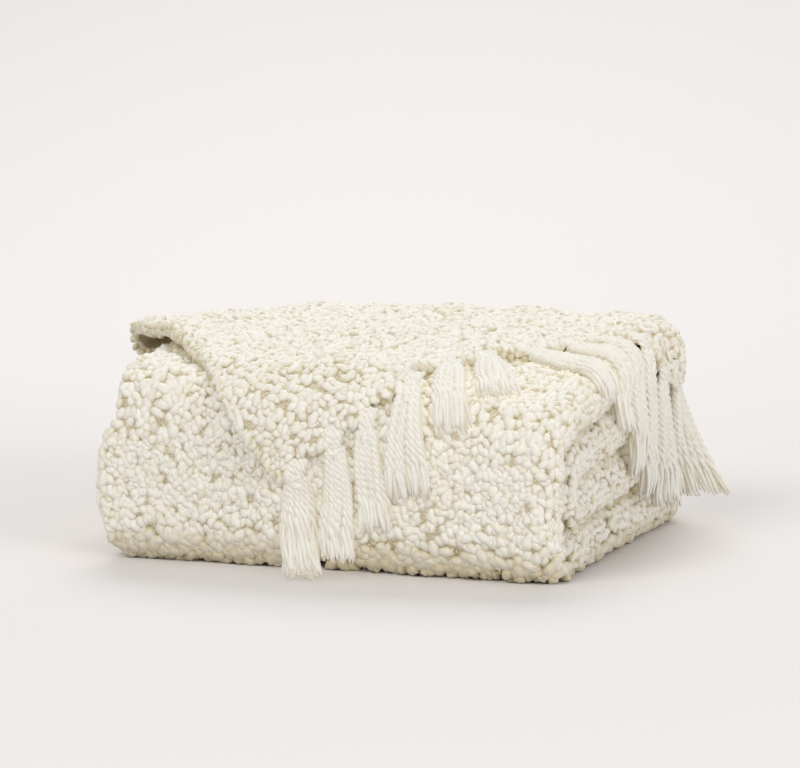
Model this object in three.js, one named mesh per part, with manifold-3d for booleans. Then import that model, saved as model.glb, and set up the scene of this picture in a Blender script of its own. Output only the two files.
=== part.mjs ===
// Folded boucle throw: the cloth is letter-folded across into a strip of three plies, the strip is
// book-folded into four layers, and one corner of its end lies opened out diagonally over the top,
// with knotted tassels along the corner's fringe edge.
// Millimetres: X runs along the front, -Y faces the front, +Z is up, z = 0 is the underside.
import * as THREE from 'three';
import Module from 'manifold-3d';

const wasm = await Module();
wasm.setup();

// Cloth
const PLY = 11.4; // one thickness of cloth, nubs included
const PLY_GAP = 1.2; // air between plies of the strip
const LAYER_GAP = 2.2; // air between layers of the strip
const FLAP_PLY = 10.0; // the opened corner, a little stretched
const FLAP_REST = 2.6; // air under the flap where it lies on the stack
const FLAP_LEVEL = FLAP_REST + FLAP_PLY / 2;

// Folded stack
const WIDTH = 412;
const DEPTH = 370;
const WRAP_BEND = 24; // mid-line radius of the two bends of the front wrap
const BACK_BEND = 26; // outer radius over which the flap turns down the back
const END_RECESS = 26; // free ends of the strip stand in from the back fold

const PITCH = PLY + PLY_GAP;
const STRIP = 3 * PLY + 2 * PLY_GAP;
const LAYER = STRIP + LAYER_GAP;
const HEIGHT = 4 * STRIP + 3 * LAYER_GAP;
const LEFT = -WIDTH / 2;
const RIGHT = WIDTH / 2;
const FRONT = -DEPTH / 2;
const BACK = DEPTH / 2;
const WRAP_OUTER = WRAP_BEND + STRIP / 2;

// Settled form of the soft stack, added to the plain folds
const BACK_RISE = 14; // bulky folds at the back
const BACK_RISE_SPAN = [-265, 125];
const RIGHT_SAG = 20; // front right corner is pressed down
const RIGHT_SAG_REACH = { x: 120, y: 200 };
const LEFT_SAG = 9; // front left corner is rounded off
const LEFT_SAG_REACH = { x: 150, y: 120 };
const LEFT_TUCK = 17; // lower layers stand in at the left end
const LEFT_TUCK_HEIGHT = 62;
const LEFT_SKEW = 12; // left end runs back at a slant
const LEFT_LEAN = 18; // its upper layers stand in above a step
const LEFT_LEAN_SPAN = [88, 130];
const SHOULDER = { forward: 6, rise: 13 }; // the wrap's upper bend is fuller at the left end
const SHOULDER_REACH = { x: [120, 30], y: [110, 45], z: [45, 12] };
const BACK_LEFT_SAG = 15; // back left corner falls away
const BACK_LEFT_SAG_REACH = { x: 266, y: 245 };
const RIPPLE = 2.2; // slack of the front wrap
const RIPPLE_WAVE = 118;

// Flap: the opened corner, measured along the path over the stack
const FLOOR_RUN = 60; // floor before the front, where the longest tassel lies
const FLOOR_TURN = 34;
const FLOOR_SWING = 0.36; // rightward run of strands for each millimetre that they lie out from the front
const CORNER_X = -18;
const CORNER_HEIGHT = 79;
const SELVEDGE_SLOPE = 1.0; // leftward run of the selvedge for each millimetre up and back
const SELVEDGE_START = 4; // the blunt tip of the corner
const ROLL_LIFT = 12; // loft of the edge folded under at the left end
const ROLL_REACH = 150; // the loft dies out over this width
const ROLL_OUT = 42; // the roll stands out past the stack
const ROLL_DROOP = { upper: 6, lower: 15 }; // its plies hang past the rounded end of the stack
const ROLL_DROOP_SPAN = [30, -14]; // over this way out from the left end
const ROLL_RISE = [60, 150]; // the loft grows over this way up from the corner
const ROLL_FALL = [190, 330]; // and settles again towards the back
const ROLL_FALL_SHARE = 0.55;
const ROLL_OPENS = [300, 370]; // the turned-under cloth runs out
const TUCK_LENGTH = 58; // cloth turned under behind the roll
const TUCK_SINK = 1.2; // the turned-under ply is one with the ply below it
const RIGHT_BEND = 19; // outer radius of the stack's right end
const BACK_HEM = 22; // height of the flap's lower edge at the back
const FLAP_COLUMNS = 22;
const ROLL_WEIGHT = 4; // columns are closer together in the roll
const BEND_WEIGHT = 2.5; // and in the bend over the right end
const COLUMN_SAMPLES = 200;
const NORMAL_STEP = 0.5;

// Tassels
const HEAD = { along: 9, across: 9, thick: 5.4 }; // half sizes of the knot
const HEAD_SEAT = 0.4; // between the knot and the edge it hangs from
const STRAND_ROWS = [
  { strands: 4, level: -2.5 },
  { strands: 5, level: 2.5 },
];
const STRAND_THICK = 4.2;
const STRAND_GAP = 0.6;
const NECK_WIDTH = 17;
const HEM_WIDTH = 40;
const FAN_CURVE = 0.68; // strands part quickly below the knot
const LEAN_CURVE = 1.3; // and leave the cloth early where they stand out
const STRAND_RAGGED = 7; // uneven lengths
const FLOOR_DROP = FLAP_LEVEL + STRAND_ROWS[0].level - STRAND_THICK / 2; // brings strands to the floor
const STRANDS_WIDE = Math.max(...STRAND_ROWS.map(({ strands }) => strands));
const SEED_STEPS = { tassel: 31, row: 7 };
const KNOT_SIDES = 6;
const KNOT_RINGS = [-0.92, -0.2, 0.6]; // shares of the knot's half length

const CLOTH_FINISH = { color: 0xebe6da, roughness: 0.95, metalness: 0 };
const YARN_FINISH = { color: 0xf5f4ee, roughness: 0.95, metalness: 0 };

const clamp01 = (value) => Math.min(1, Math.max(0, value));
const mix = (from, to, share) => from + (to - from) * share;

/** Smooth step from 0 to 1 between two values. */
function ease(from, to, value) {
  const share = clamp01((value - from) / (to - from));
  return share * share * (3 - 2 * share);
}

/** Straight interpolation in a table of rows by one of its columns. */
function readTable(table, key, column, value) {
  const last = table.length - 1;
  let row = 1;
  while (row < last && table[row][key] < value) row += 1;
  const [low, high] = [table[row - 1], table[row]];
  return mix(low[column], high[column], clamp01((value - low[key]) / (high[key] - low[key])));
}

/** A plane path of straight runs and turns; places on it are told by the distance travelled. */
class FoldPath {
  constructor(start, heading, rows) {
    let [a, b] = start;
    let travelled = 0;
    let angle = heading;
    this.rows = rows.map(({ run = 0, radius = 0, turn = 0, steps = 1 }) => {
      const length = turn ? radius * Math.abs(turn) : run;
      const row = { a, b, angle, radius, turn, steps, length, from: travelled };
      [a, b] = FoldPath.along(row, length);
      angle += turn;
      travelled += length;
      return row;
    });
    this.length = travelled;
  }

  /** Point at a distance into one row, moved off the path to its left. */
  static along({ a, b, angle, radius, turn }, distance, offset = 0) {
    if (!turn) {
      return [
        a + distance * Math.cos(angle) - offset * Math.sin(angle),
        b + distance * Math.sin(angle) + offset * Math.cos(angle),
      ];
    }
    const hand = Math.sign(turn);
    const there = angle + hand * (distance / radius);
    const reach = radius - hand * offset;
    return [
      a - hand * radius * Math.sin(angle) + hand * reach * Math.sin(there),
      b + hand * radius * Math.cos(angle) - hand * reach * Math.cos(there),
    ];
  }

  at(distance, offset = 0) {
    const row = this.rows.findLast(({ from }) => from <= distance) ?? this.rows[0];
    return FoldPath.along(row, distance - row.from, offset);
  }

  /** Distances at which the path is divided, by the steps of its rows. */
  get stops() {
    const inner = this.rows.flatMap(({ from, length, steps }) =>
      Array.from({ length: steps }, (_, i) => from + (length * i) / steps));
    return [...inner, this.length];
  }
}

/** Soft settling of the whole folded pile; the underside stays flat. */
function settle(x, y, z) {
  const share = clamp01(z / HEIGHT);
  const rightSag = ease(RIGHT - RIGHT_SAG_REACH.x, RIGHT, x) * ease(FRONT + RIGHT_SAG_REACH.y, FRONT, y);
  const leftSag = ease(LEFT + LEFT_SAG_REACH.x, LEFT, x) * ease(FRONT + LEFT_SAG_REACH.y, FRONT, y);
  const backLeft = clamp01((LEFT - x) / BACK_LEFT_SAG_REACH.x + 1) ** 2;
  const backSag = backLeft * ease(BACK - BACK_LEFT_SAG_REACH.y, BACK, y);
  const sag = RIGHT_SAG * rightSag + LEFT_SAG * leftSag + BACK_LEFT_SAG * backSag;
  const rise = BACK_RISE * ease(...BACK_RISE_SPAN, y) - sag;
  const leftEnd = ease(LEFT / 4, LEFT, x);
  const tuck = LEFT_TUCK * (1 - clamp01(z / LEFT_TUCK_HEIGHT)) ** 2;
  const lean = LEFT_LEAN * ease(...LEFT_LEAN_SPAN, z);
  const skew = LEFT_SKEW * ease(FRONT + LEFT_SAG_REACH.y, FRONT, y);
  const [atEnd, atFront, atTop] = [
    ease(...SHOULDER_REACH.x.map((way) => LEFT + way), x),
    ease(...SHOULDER_REACH.y.map((way) => FRONT + way), y),
    ease(...SHOULDER_REACH.z.map((way) => HEIGHT - way), z),
  ];
  const full = atEnd * atFront * atTop;
  const slack = RIPPLE * Math.sin((2 * Math.PI * x) / RIPPLE_WAVE) * Math.sin(Math.PI * share);
  return [
    x + leftEnd * (tuck + lean + skew),
    y + slack * ease(0, FRONT, y) - SHOULDER.forward * full,
    z + rise * share + SHOULDER.rise * full,
  ];
}

/** Closed solid from triangles, turned the right way out. */
function solidFrom(points, triangles) {
  let volume = 0;
  const [a, b, c] = [new THREE.Vector3(), new THREE.Vector3(), new THREE.Vector3()];
  for (let i = 0; i < triangles.length; i += 3) {
    a.fromArray(points, 3 * triangles[i]);
    b.fromArray(points, 3 * triangles[i + 1]);
    c.fromArray(points, 3 * triangles[i + 2]);
    volume += a.dot(b.cross(c));
  }
  const triVerts = Uint32Array.from(volume < 0 ? triangles.toReversed() : triangles);
  const vertProperties = Float32Array.from(points);
  return new wasm.Manifold(new wasm.Mesh({ numProp: 3, vertProperties, triVerts }));
}

/** Cloth of two faces and a rim; place(i, j, side) gives the point of a face. */
function sheetSolid(columns, rows, place) {
  const points = [];
  for (const side of [-1, 1]) {
    for (let i = 0; i < columns; i++) {
      for (let j = 0; j < rows; j++) points.push(...place(i, j, side));
    }
  }
  const id = (face, i, j) => (face * columns + i) * rows + j;
  const triangles = [];
  const height = (p, q) => points[3 * p + 2] + points[3 * q + 2];
  const quad = (p, q, r, s) => {
    if (height(p, r) >= height(q, s)) triangles.push(p, q, r, p, r, s);
    else triangles.push(q, r, s, q, s, p);
  };
  for (let i = 0; i + 1 < columns; i++) {
    for (let j = 0; j + 1 < rows; j++) {
      quad(id(0, i, j), id(0, i, j + 1), id(0, i + 1, j + 1), id(0, i + 1, j));
      quad(id(1, i, j), id(1, i + 1, j), id(1, i + 1, j + 1), id(1, i, j + 1));
    }
    quad(id(0, i, 0), id(0, i + 1, 0), id(1, i + 1, 0), id(1, i, 0));
    quad(id(0, i + 1, rows - 1), id(0, i, rows - 1), id(1, i, rows - 1), id(1, i + 1, rows - 1));
  }
  for (let j = 0; j + 1 < rows; j++) {
    quad(id(0, 0, j + 1), id(0, 0, j), id(1, 0, j), id(1, 0, j + 1));
    quad(id(0, columns - 1, j), id(0, columns - 1, j + 1), id(1, columns - 1, j + 1), id(1, columns - 1, j));
  }
  return solidFrom(points, triangles);
}

// Letter fold across the width: middle ply, outer ply, inner ply
const RIGHT_CENTRE = RIGHT - PITCH - PLY / 2;
const LEFT_CENTRE = LEFT + (PITCH + PLY) / 2;
const PANEL_WIDTH = { run: RIGHT_CENTRE - LEFT_CENTRE, steps: 7 };
const letterFold = new FoldPath([RIGHT_CENTRE, 0], Math.PI, [
  PANEL_WIDTH,
  { radius: PITCH / 2, turn: -Math.PI, steps: 4 },
  PANEL_WIDTH,
  { radius: PITCH, turn: -Math.PI, steps: 5 },
  PANEL_WIDTH,
  { run: PITCH / 2 },
]);

// Book fold along the length: free end, inner bend, back bend, underside, front wrap, top
const WRAP_CENTRE = FRONT + WRAP_OUTER;
const INNER_CENTRE = FRONT + STRIP + LAYER_GAP + (LAYER + STRIP) / 2;
const BACK_CENTRE = BACK - (LAYER + STRIP) / 2;
const PANEL_DEPTH = { run: BACK_CENTRE - INNER_CENTRE, steps: 5 };
const FREE_END = { run: BACK - END_RECESS - BACK_CENTRE };
const WRAP_SIDE = { run: INNER_CENTRE - WRAP_CENTRE };
const WRAP_TURN = { radius: WRAP_BEND, turn: -Math.PI / 2, steps: 3 };
const bookFold = new FoldPath([BACK - END_RECESS, STRIP / 2 + 2 * LAYER], Math.PI, [
  FREE_END,
  PANEL_DEPTH,
  { radius: LAYER / 2, turn: Math.PI, steps: 4 },
  PANEL_DEPTH,
  { radius: LAYER / 2, turn: -Math.PI, steps: 4 },
  PANEL_DEPTH,
  WRAP_SIDE,
  WRAP_TURN,
  { run: 3 * LAYER - 2 * WRAP_BEND, steps: 2 },
  WRAP_TURN,
  WRAP_SIDE,
  PANEL_DEPTH,
  FREE_END,
]);

/** The stack: one sheet carried through both folds. */
function foldedStack() {
  const across = letterFold.stops;
  const along = bookFold.stops;
  return sheetSolid(across.length, along.length, (i, j, side) => {
    const [x, offset] = letterFold.at(across[i], (side * PLY) / 2);
    return settle(x, ...bookFold.at(along[j], offset));
  });
}

// Path over the outside of the stack: floor, front, top, back
const overPath = new FoldPath([FRONT - FLOOR_TURN - FLOOR_RUN, 0], 0, [
  { run: FLOOR_RUN },
  { radius: FLOOR_TURN, turn: Math.PI / 2 },
  { run: HEIGHT - WRAP_OUTER - FLOOR_TURN },
  { radius: WRAP_OUTER, turn: -Math.PI / 2 },
  { run: DEPTH - WRAP_OUTER - BACK_BEND },
  { radius: BACK_BEND, turn: -Math.PI / 2 },
  { run: HEIGHT - BACK_BEND - BACK_HEM },
]);
const [, , FRONT_RUN, FRONT_BEND, TOP_RUN, BACK_TURN] = overPath.rows.map(({ from }) => from);
const CORNER = FRONT_RUN + CORNER_HEIGHT - FLOOR_TURN;
const FLAP_END = overPath.length - CORNER;

/**
 * Point over the stack: right is measured across and down the right end, along follows the path over
 * front, top and back, and off is the height above the stack's surface.
 */
function drape(right, along, off) {
  const past = right - (RIGHT - RIGHT_BEND);
  let [x, lift] = [right, off - FLOOR_DROP * ease(FRONT_RUN, FLOOR_RUN, along)];
  if (past > 0) {
    const angle = Math.min(past / RIGHT_BEND, Math.PI / 2);
    x = RIGHT - RIGHT_BEND + (RIGHT_BEND + off) * Math.sin(angle);
    lift = (RIGHT_BEND + off) * Math.cos(angle) - RIGHT_BEND - (past - RIGHT_BEND * angle);
  }
  return settle(x, ...overPath.at(along, lift));
}

// Fringe edge of the flap: one row for each tassel. Right and up give its root, up being measured
// from the corner; heading is its lie in degrees, 0 down the front and 90 down the right end; fan
// is the spread of its hem, lean how far its loose strands stand out from the cloth, and drawn how
// far its knot is pulled in where the edge turns.
const TASSELS = [
  { right: CORNER_X, up: 3, heading: 0, length: 108, fan: 0.85, lean: 0, steps: 7 },
  { right: 18, up: 30, heading: 2, length: 102, fan: 0.72, lean: 0, steps: 3 },
  { right: 44, up: 44, heading: 5, length: 86, fan: 0.68, lean: 0, steps: 3 },
  { right: 74, up: 70, heading: 6, length: 86, fan: 0.95, lean: 0, steps: 4, drawn: 1.5 },
  { right: 90, up: 120, heading: 18, length: 86, fan: 0.72, lean: 0, steps: 4, drawn: 0.8 },
  { right: 107, up: 166, heading: 24, length: 92, fan: 0.85, lean: 0, steps: 4 },
  { right: 136, up: 210, heading: 70, length: 84, fan: 0.75, lean: 0, steps: 5 },
  { right: 160, up: 246, heading: 78, length: 94, fan: 0.72, lean: 0, steps: 6 },
  { right: 182, up: 275, heading: 84, length: 112, fan: 0.66, lean: 0, steps: 6 },
  { right: 202, up: 303, heading: 90, length: 116, fan: 0.64, lean: 0, steps: 6 },
  { right: 224, up: 334, heading: 92, length: 106, fan: 0.66, lean: 12, steps: 5 },
  { right: 236, up: 368, heading: 93, length: 88, fan: 0.8, lean: 42, steps: 5, drawn: 2.1 },
];
const FRINGE_EDGE = [
  { right: CORNER_X, up: 0 },
  ...TASSELS.map(({ right, up }) => ({ right, up })),
  { right: RIGHT + RIGHT_BEND, up: 384 },
  { right: RIGHT - RIGHT_BEND, up: 396 },
  { right: RIGHT - RIGHT_BEND, up: FLAP_END },
];

// Rows of the flap, counted up from the corner: one at each tassel and some between
const ROWS_BETWEEN = [16, 56, 84, 98, 143, 188, 228, 260, 289, 318, 350, 382, 396, 408, 422, 438, 470];
const FLAP_ROWS = [0, ...TASSELS.map(({ up }) => up), ...ROWS_BETWEEN, FLAP_END].sort((p, q) => p - q);

/** How full the roll of the left edge is, on the way up from the corner. */
function rollFullness(up) {
  return ease(...ROLL_RISE, up) * (1 - ROLL_FALL_SHARE * ease(...ROLL_FALL, up));
}

/** Loft of the flap above its rest, highest at the edge turned under at the left end. */
function flapLift(right, up) {
  return ROLL_LIFT * ease(LEFT + ROLL_REACH, LEFT, right) * rollFullness(up);
}

/** Roll of the flap's left edge: where it starts, its radius, and the levels of its two plies. */
function flapRoll(up) {
  const along = CORNER + up;
  const onTop = ease(FRONT_BEND, TOP_RUN, along) * ease(BACK_TURN, BACK_TURN - BACK_BEND, along);
  const high = FLAP_LEVEL + flapLift(LEFT, up);
  const low = FLAP_LEVEL - (FLAP_REST + TUCK_SINK) * onTop;
  const radius = (high - low) / 2;
  return { high, low, radius, start: LEFT - ROLL_OUT + FLAP_PLY / 2 + radius };
}

/** Middle of the flap at a place of the flat cloth, with the left edge rolled under. */
function flapMiddle(right, up) {
  const { high, low, radius, start } = flapRoll(up);
  let [x, level, under] = [right, FLAP_LEVEL + flapLift(right, up), 0];
  if (right < start) {
    const angle = (start - right) / radius;
    x = angle > Math.PI ? start + radius * (angle - Math.PI) : start - radius * Math.sin(angle);
    under = (1 - Math.cos(Math.min(angle, Math.PI))) / 2;
    level = mix(high, low, under);
  }
  const hang = ease(...ROLL_DROOP_SPAN.map((way) => LEFT + way), x) * ease(...ROLL_RISE, up);
  return drape(x, CORNER + up, level - hang * mix(ROLL_DROOP.upper, ROLL_DROOP.lower, under));
}

/** Places of a flap row from selvedge to fringe edge, closer together in the two bends. */
function flapColumns(up) {
  const { radius, start } = flapRoll(up);
  const rolled = start - Math.PI * radius;
  const turnedUnder = mix(rolled - TUCK_LENGTH, start, ease(...ROLL_OPENS, up));
  const from = Math.max(CORNER_X - SELVEDGE_START - SELVEDGE_SLOPE * up, turnedUnder);
  const to = readTable(FRINGE_EDGE, 'up', 'right', up);
  const weight = (right) => {
    if (right > rolled && right < start) return ROLL_WEIGHT;
    return right > RIGHT - RIGHT_BEND ? BEND_WEIGHT : 1;
  };
  const sums = [0];
  for (let i = 0; i < COLUMN_SAMPLES; i++) {
    sums.push(sums[i] + weight(mix(from, to, (i + 0.5) / COLUMN_SAMPLES)));
  }
  return Array.from({ length: FLAP_COLUMNS + 1 }, (_, column) => {
    const goal = (sums[COLUMN_SAMPLES] * column) / FLAP_COLUMNS;
    const after = Math.max(1, sums.findIndex((sum) => sum >= goal - 1e-9));
    const part = (goal - sums[after - 1]) / (sums[after] - sums[after - 1]);
    return mix(from, to, (after - 1 + part) / COLUMN_SAMPLES);
  });
}

/** The flap: the opened corner over front, top, left roll and back. */
function openedCorner() {
  const rows = FLAP_ROWS.map((up) => ({ up, columns: flapColumns(up) }));
  return sheetSolid(FLAP_COLUMNS + 1, rows.length, (i, j, side) => {
    const { up, columns } = rows[j];
    const here = (right, along) => new THREE.Vector3(...flapMiddle(right, along));
    const across = here(columns[i] + NORMAL_STEP, up).sub(here(columns[i] - NORMAL_STEP, up));
    const over = here(columns[i], up + NORMAL_STEP).sub(here(columns[i], up - NORMAL_STEP));
    const normal = across.cross(over).normalize();
    return here(columns[i], up).addScaledVector(normal, (side * FLAP_PLY) / 2).toArray();
  });
}

/** Unevenness that is always the same: a share from -1 to 1 for each seed. */
function uneven(seed) {
  return Math.sin(seed * 12.9898) * Math.cos(seed * 4.1414 + 1.7);
}

/** Closed bar through rings with the same number of points each. */
function barSolid(rings) {
  const sides = rings[0].length;
  const end = sides * (rings.length - 1);
  const triangles = [];
  for (let ring = 0; ring + 1 < rings.length; ring++) {
    for (let side = 0; side < sides; side++) {
      const a = sides * ring + side;
      const b = sides * ring + ((side + 1) % sides);
      triangles.push(a, b, b + sides, a, b + sides, a + sides);
    }
  }
  for (let side = 2; side < sides; side++) {
    triangles.push(0, side, side - 1, end, end + side - 1, end + side);
  }
  return solidFrom(rings.flat(2), triangles);
}

/** Frame of a tassel: its knot is seated just off both runs of the fringe edge that meet at the root. */
function tasselFrame(index) {
  const { right, up, heading, drawn = 0 } = TASSELS[index];
  const lie = THREE.MathUtils.degToRad(heading);
  const edges = [0, 1].map((side) => {
    const [from, to] = [FRINGE_EDGE[index + side], FRINGE_EDGE[index + side + 1]];
    return Math.atan2(to.up - from.up, to.right - from.right);
  });
  const out = (edges[0] + edges[1]) / 2;
  const seats = edges.map((edge) => {
    const half = Math.hypot(HEAD.along * Math.cos(lie - edge), HEAD.across * Math.sin(lie - edge));
    return (half + HEAD_SEAT) / Math.cos(out - edge);
  });
  const seat = Math.max(...seats) - drawn;
  const knot = { right: right + seat * Math.sin(out), along: CORNER + up - seat * Math.cos(out) };
  return (down, across, off) => {
    const along = knot.along - down * Math.cos(lie) + across * Math.sin(lie);
    const swing = FLOOR_SWING * Math.max(0, FRONT - overPath.at(along)[0]);
    return drape(knot.right + down * Math.sin(lie) + across * Math.cos(lie) + swing, along, off);
  };
}

/** Knot of a tassel, a rounded lump. */
function knotSolid(place) {
  const rings = KNOT_RINGS.map((share) => {
    const girth = Math.sqrt(1 - share * share);
    return Array.from({ length: KNOT_SIDES }, (_, side) => {
      const turn = (2 * Math.PI * side) / KNOT_SIDES;
      const across = HEAD.across * girth * Math.cos(turn);
      return place(HEAD.along * share, across, FLAP_LEVEL + HEAD.thick * girth * Math.sin(turn));
    });
  });
  return barSolid(rings);
}

/** One strand, square in section, from inside the knot to its ragged end. */
function strandSolid(place, { length, fan, lean, steps }, { slot, slots, level, seed }) {
  const reach = length - HEAD.along + STRAND_RAGGED * uneven(seed);
  const low = FLAP_LEVEL + level - STRAND_THICK / 2;
  const drift = lean * (slot + 1) / slots;
  const rings = Array.from({ length: steps + 1 }, (_, step) => {
    const share = step / steps;
    const spread = mix(NECK_WIDTH, HEM_WIDTH * fan, share ** FAN_CURVE) / STRANDS_WIDE;
    const middle = (slot - (slots - 1) / 2) * spread;
    const half = (spread - STRAND_GAP) / 2;
    return [[-1, 0], [1, 0], [1, 1], [-1, 1]].map(([side, top]) => {
      const off = low + top * STRAND_THICK + drift * share ** LEAN_CURVE;
      return place(mix(HEAD.along / 3, reach, share), middle + side * half, off);
    });
  });
  return barSolid(rings);
}

/** One tassel: a knot under the fringe edge and two rows of strands fanning out below it. */
function tasselSolid(tassel, index) {
  const place = tasselFrame(index);
  const strands = STRAND_ROWS.flatMap(({ strands: slots, level }, row) =>
    Array.from({ length: slots }, (_, slot) =>
      strandSolid(place, tassel, {
        slot,
        slots,
        level,
        seed: SEED_STEPS.tassel * index + SEED_STEPS.row * row + slot,
      })));
  return strands.reduce((joined, strand) => joined.add(strand), knotSolid(place));
}

/** Named mesh of a solid with its finish. */
function namedMesh(name, solid, finish) {
  const { vertProperties, triVerts } = solid.getMesh();
  const geometry = new THREE.BufferGeometry();
  geometry.setAttribute('position', new THREE.BufferAttribute(vertProperties, 3));
  geometry.setIndex(new THREE.BufferAttribute(triVerts, 1));
  geometry.computeVertexNormals();
  const mesh = new THREE.Mesh(geometry, new THREE.MeshStandardMaterial(finish));
  mesh.name = name;
  return mesh;
}

const throwGroup = new THREE.Group();
throwGroup.name = 'boucle_throw';
throwGroup.add(namedMesh('throw', foldedStack().add(openedCorner()), CLOTH_FINISH));
TASSELS.forEach((tassel, index) => {
  throwGroup.add(namedMesh(`tassel_${index + 1}`, tasselSolid(tassel, index), YARN_FINISH));
});

export default throwGroup;
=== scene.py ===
"""Folded boucle throw: nubby cloth in a soft stack, an opened corner over its top, and knotted tassels.

Metres, in the frame of the part: X runs along the front, -Y faces the front, +Z is up, and z = 0 is the
underside.
"""

import logging
import math
from dataclasses import dataclass, field, fields
from enum import Enum

import bmesh
import bpy
import numpy as np
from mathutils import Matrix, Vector
from mathutils.bvhtree import BVHTree


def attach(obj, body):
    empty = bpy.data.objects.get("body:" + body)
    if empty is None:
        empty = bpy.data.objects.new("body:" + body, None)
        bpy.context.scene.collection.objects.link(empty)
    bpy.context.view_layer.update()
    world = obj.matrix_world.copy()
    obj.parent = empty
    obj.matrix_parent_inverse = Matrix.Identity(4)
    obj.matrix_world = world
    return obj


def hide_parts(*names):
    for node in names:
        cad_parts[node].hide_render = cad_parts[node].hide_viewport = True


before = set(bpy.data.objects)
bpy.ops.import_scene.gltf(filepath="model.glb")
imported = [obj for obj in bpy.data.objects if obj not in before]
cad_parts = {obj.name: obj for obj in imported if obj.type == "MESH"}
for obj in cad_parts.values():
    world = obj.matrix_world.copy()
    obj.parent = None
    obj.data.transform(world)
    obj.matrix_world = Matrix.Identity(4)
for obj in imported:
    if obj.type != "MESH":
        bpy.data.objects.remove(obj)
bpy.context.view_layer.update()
LOG = logging.getLogger("boucle_throw")
Array = np.ndarray
Colour = tuple[float, float, float]
TINY = 1e-12
SLOPE_STEP = 0.0005
GOLDEN_SHARE = 3.0 - math.sqrt(5.0)
NOISE_MIDDLE = 0.5


class Slot(Enum):
    """Material slots of the record."""

    BOUCLE = "boucle"
    YARN = "fringe_yarn"


class Region(Enum):
    """Parts of the throw that carry their own mesh of nubs."""

    CORNER_TOP = "nubs_corner_top"
    CORNER_DROP = "nubs_corner_drop"
    FRONT = "nubs_front"
    RIGHT = "nubs_right_end"
    LEFT = "nubs_left_end"
    BASE = "nubs_base"
    BACK = "nubs_back"


def ease(start: Array | float, stop: Array | float, value: Array) -> Array:
    """Smooth step from 0 to 1 between two values.

    Args:
        start: Value at which the step is 0.
        stop: Value at which the step is 1.
        value: Values to place on the step.

    Returns:
        Share from 0 to 1 for each value.
    """
    share = np.clip((value - start) / (stop - start), 0.0, 1.0)
    return share * share * (3.0 - 2.0 * share)


def mix(start: Array | float, stop: Array | float, share: Array | float) -> Array | float:
    """Straight interpolation between two values.

    Args:
        start: Value at share 0.
        stop: Value at share 1.
        share: Place between them.

    Returns:
        The value in between.
    """
    return start + (stop - start) * share


def unit(vectors: Array) -> Array:
    """Vectors brought to length 1.

    Args:
        vectors: Array whose last axis holds x, y and z.

    Returns:
        Array of the same shape.
    """
    return vectors / np.maximum(np.linalg.norm(vectors, axis=-1, keepdims=True), TINY)


@dataclass(frozen=True)
class Leg:
    """One straight run or one turn of a fold path."""

    run: float = 0.0
    radius: float = 0.0
    turn: float = 0.0
    steps: int = 1


class FoldPath:
    """A plane path of straight runs and turns; places on it are told by the distance travelled."""

    def __init__(self, start: tuple[float, float], heading: float, legs: list[Leg]) -> None:
        """Lay the legs end to end.

        Args:
            start: First point of the path.
            heading: Direction of the first leg, in radians.
            legs: The runs and turns in order.
        """
        self.legs = legs
        self.lengths = np.array([leg.radius * abs(leg.turn) if leg.turn else leg.run for leg in legs])
        self.starts = np.concatenate([[0.0], np.cumsum(self.lengths)[:-1]])
        self.length = float(self.lengths.sum())
        self.radii = np.array([leg.radius if leg.turn else 1.0 for leg in legs])
        self.turns = np.array([leg.turn for leg in legs])
        self.angles = heading + np.concatenate([[0.0], np.cumsum(self.turns)[:-1]])
        self.points = np.zeros((len(legs), 2))
        self.points[0] = start
        for row in range(1, len(legs)):
            self.points[row] = np.stack(self.along(row - 1, self.lengths[row - 1], 0.0))

    def along(
        self, row: Array | int, distance: Array | float, offset: Array | float
    ) -> tuple[Array, Array]:
        """Point at a distance into a leg, moved off the path to its left.

        Args:
            row: Leg numbers.
            distance: Distances into those legs.
            offset: Distances off the path.

        Returns:
            The two plane coordinates.
        """
        first, second = self.points[row, 0], self.points[row, 1]
        angle, radius, turn = self.angles[row], self.radii[row], self.turns[row]
        hand = np.sign(turn)
        there = angle + hand * distance / radius
        reach = radius - hand * offset
        straight = (
            first + distance * np.cos(angle) - offset * np.sin(angle),
            second + distance * np.sin(angle) + offset * np.cos(angle),
        )
        turned = (
            first - hand * radius * np.sin(angle) + hand * reach * np.sin(there),
            second + hand * radius * np.cos(angle) - hand * reach * np.cos(there),
        )
        return np.where(turn == 0, straight[0], turned[0]), np.where(turn == 0, straight[1], turned[1])

    def at(self, distance: Array, offset: Array | float = 0.0) -> tuple[Array, Array]:
        """Point at a distance from the path's start, moved off it to its left.

        Args:
            distance: Distances travelled.
            offset: Distances off the path.

        Returns:
            The two plane coordinates.
        """
        row = np.clip(np.searchsorted(self.starts, distance, side="right") - 1, 0, len(self.legs) - 1)
        return self.along(row, distance - self.starts[row], offset)

    def stops(self) -> Array:
        """Distances at which the path is divided, by the steps of its legs."""
        inner = [
            start + length * np.arange(leg.steps) / leg.steps
            for leg, start, length in zip(self.legs, self.starts, self.lengths)
        ]
        return np.concatenate([*inner, [self.length]])


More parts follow.
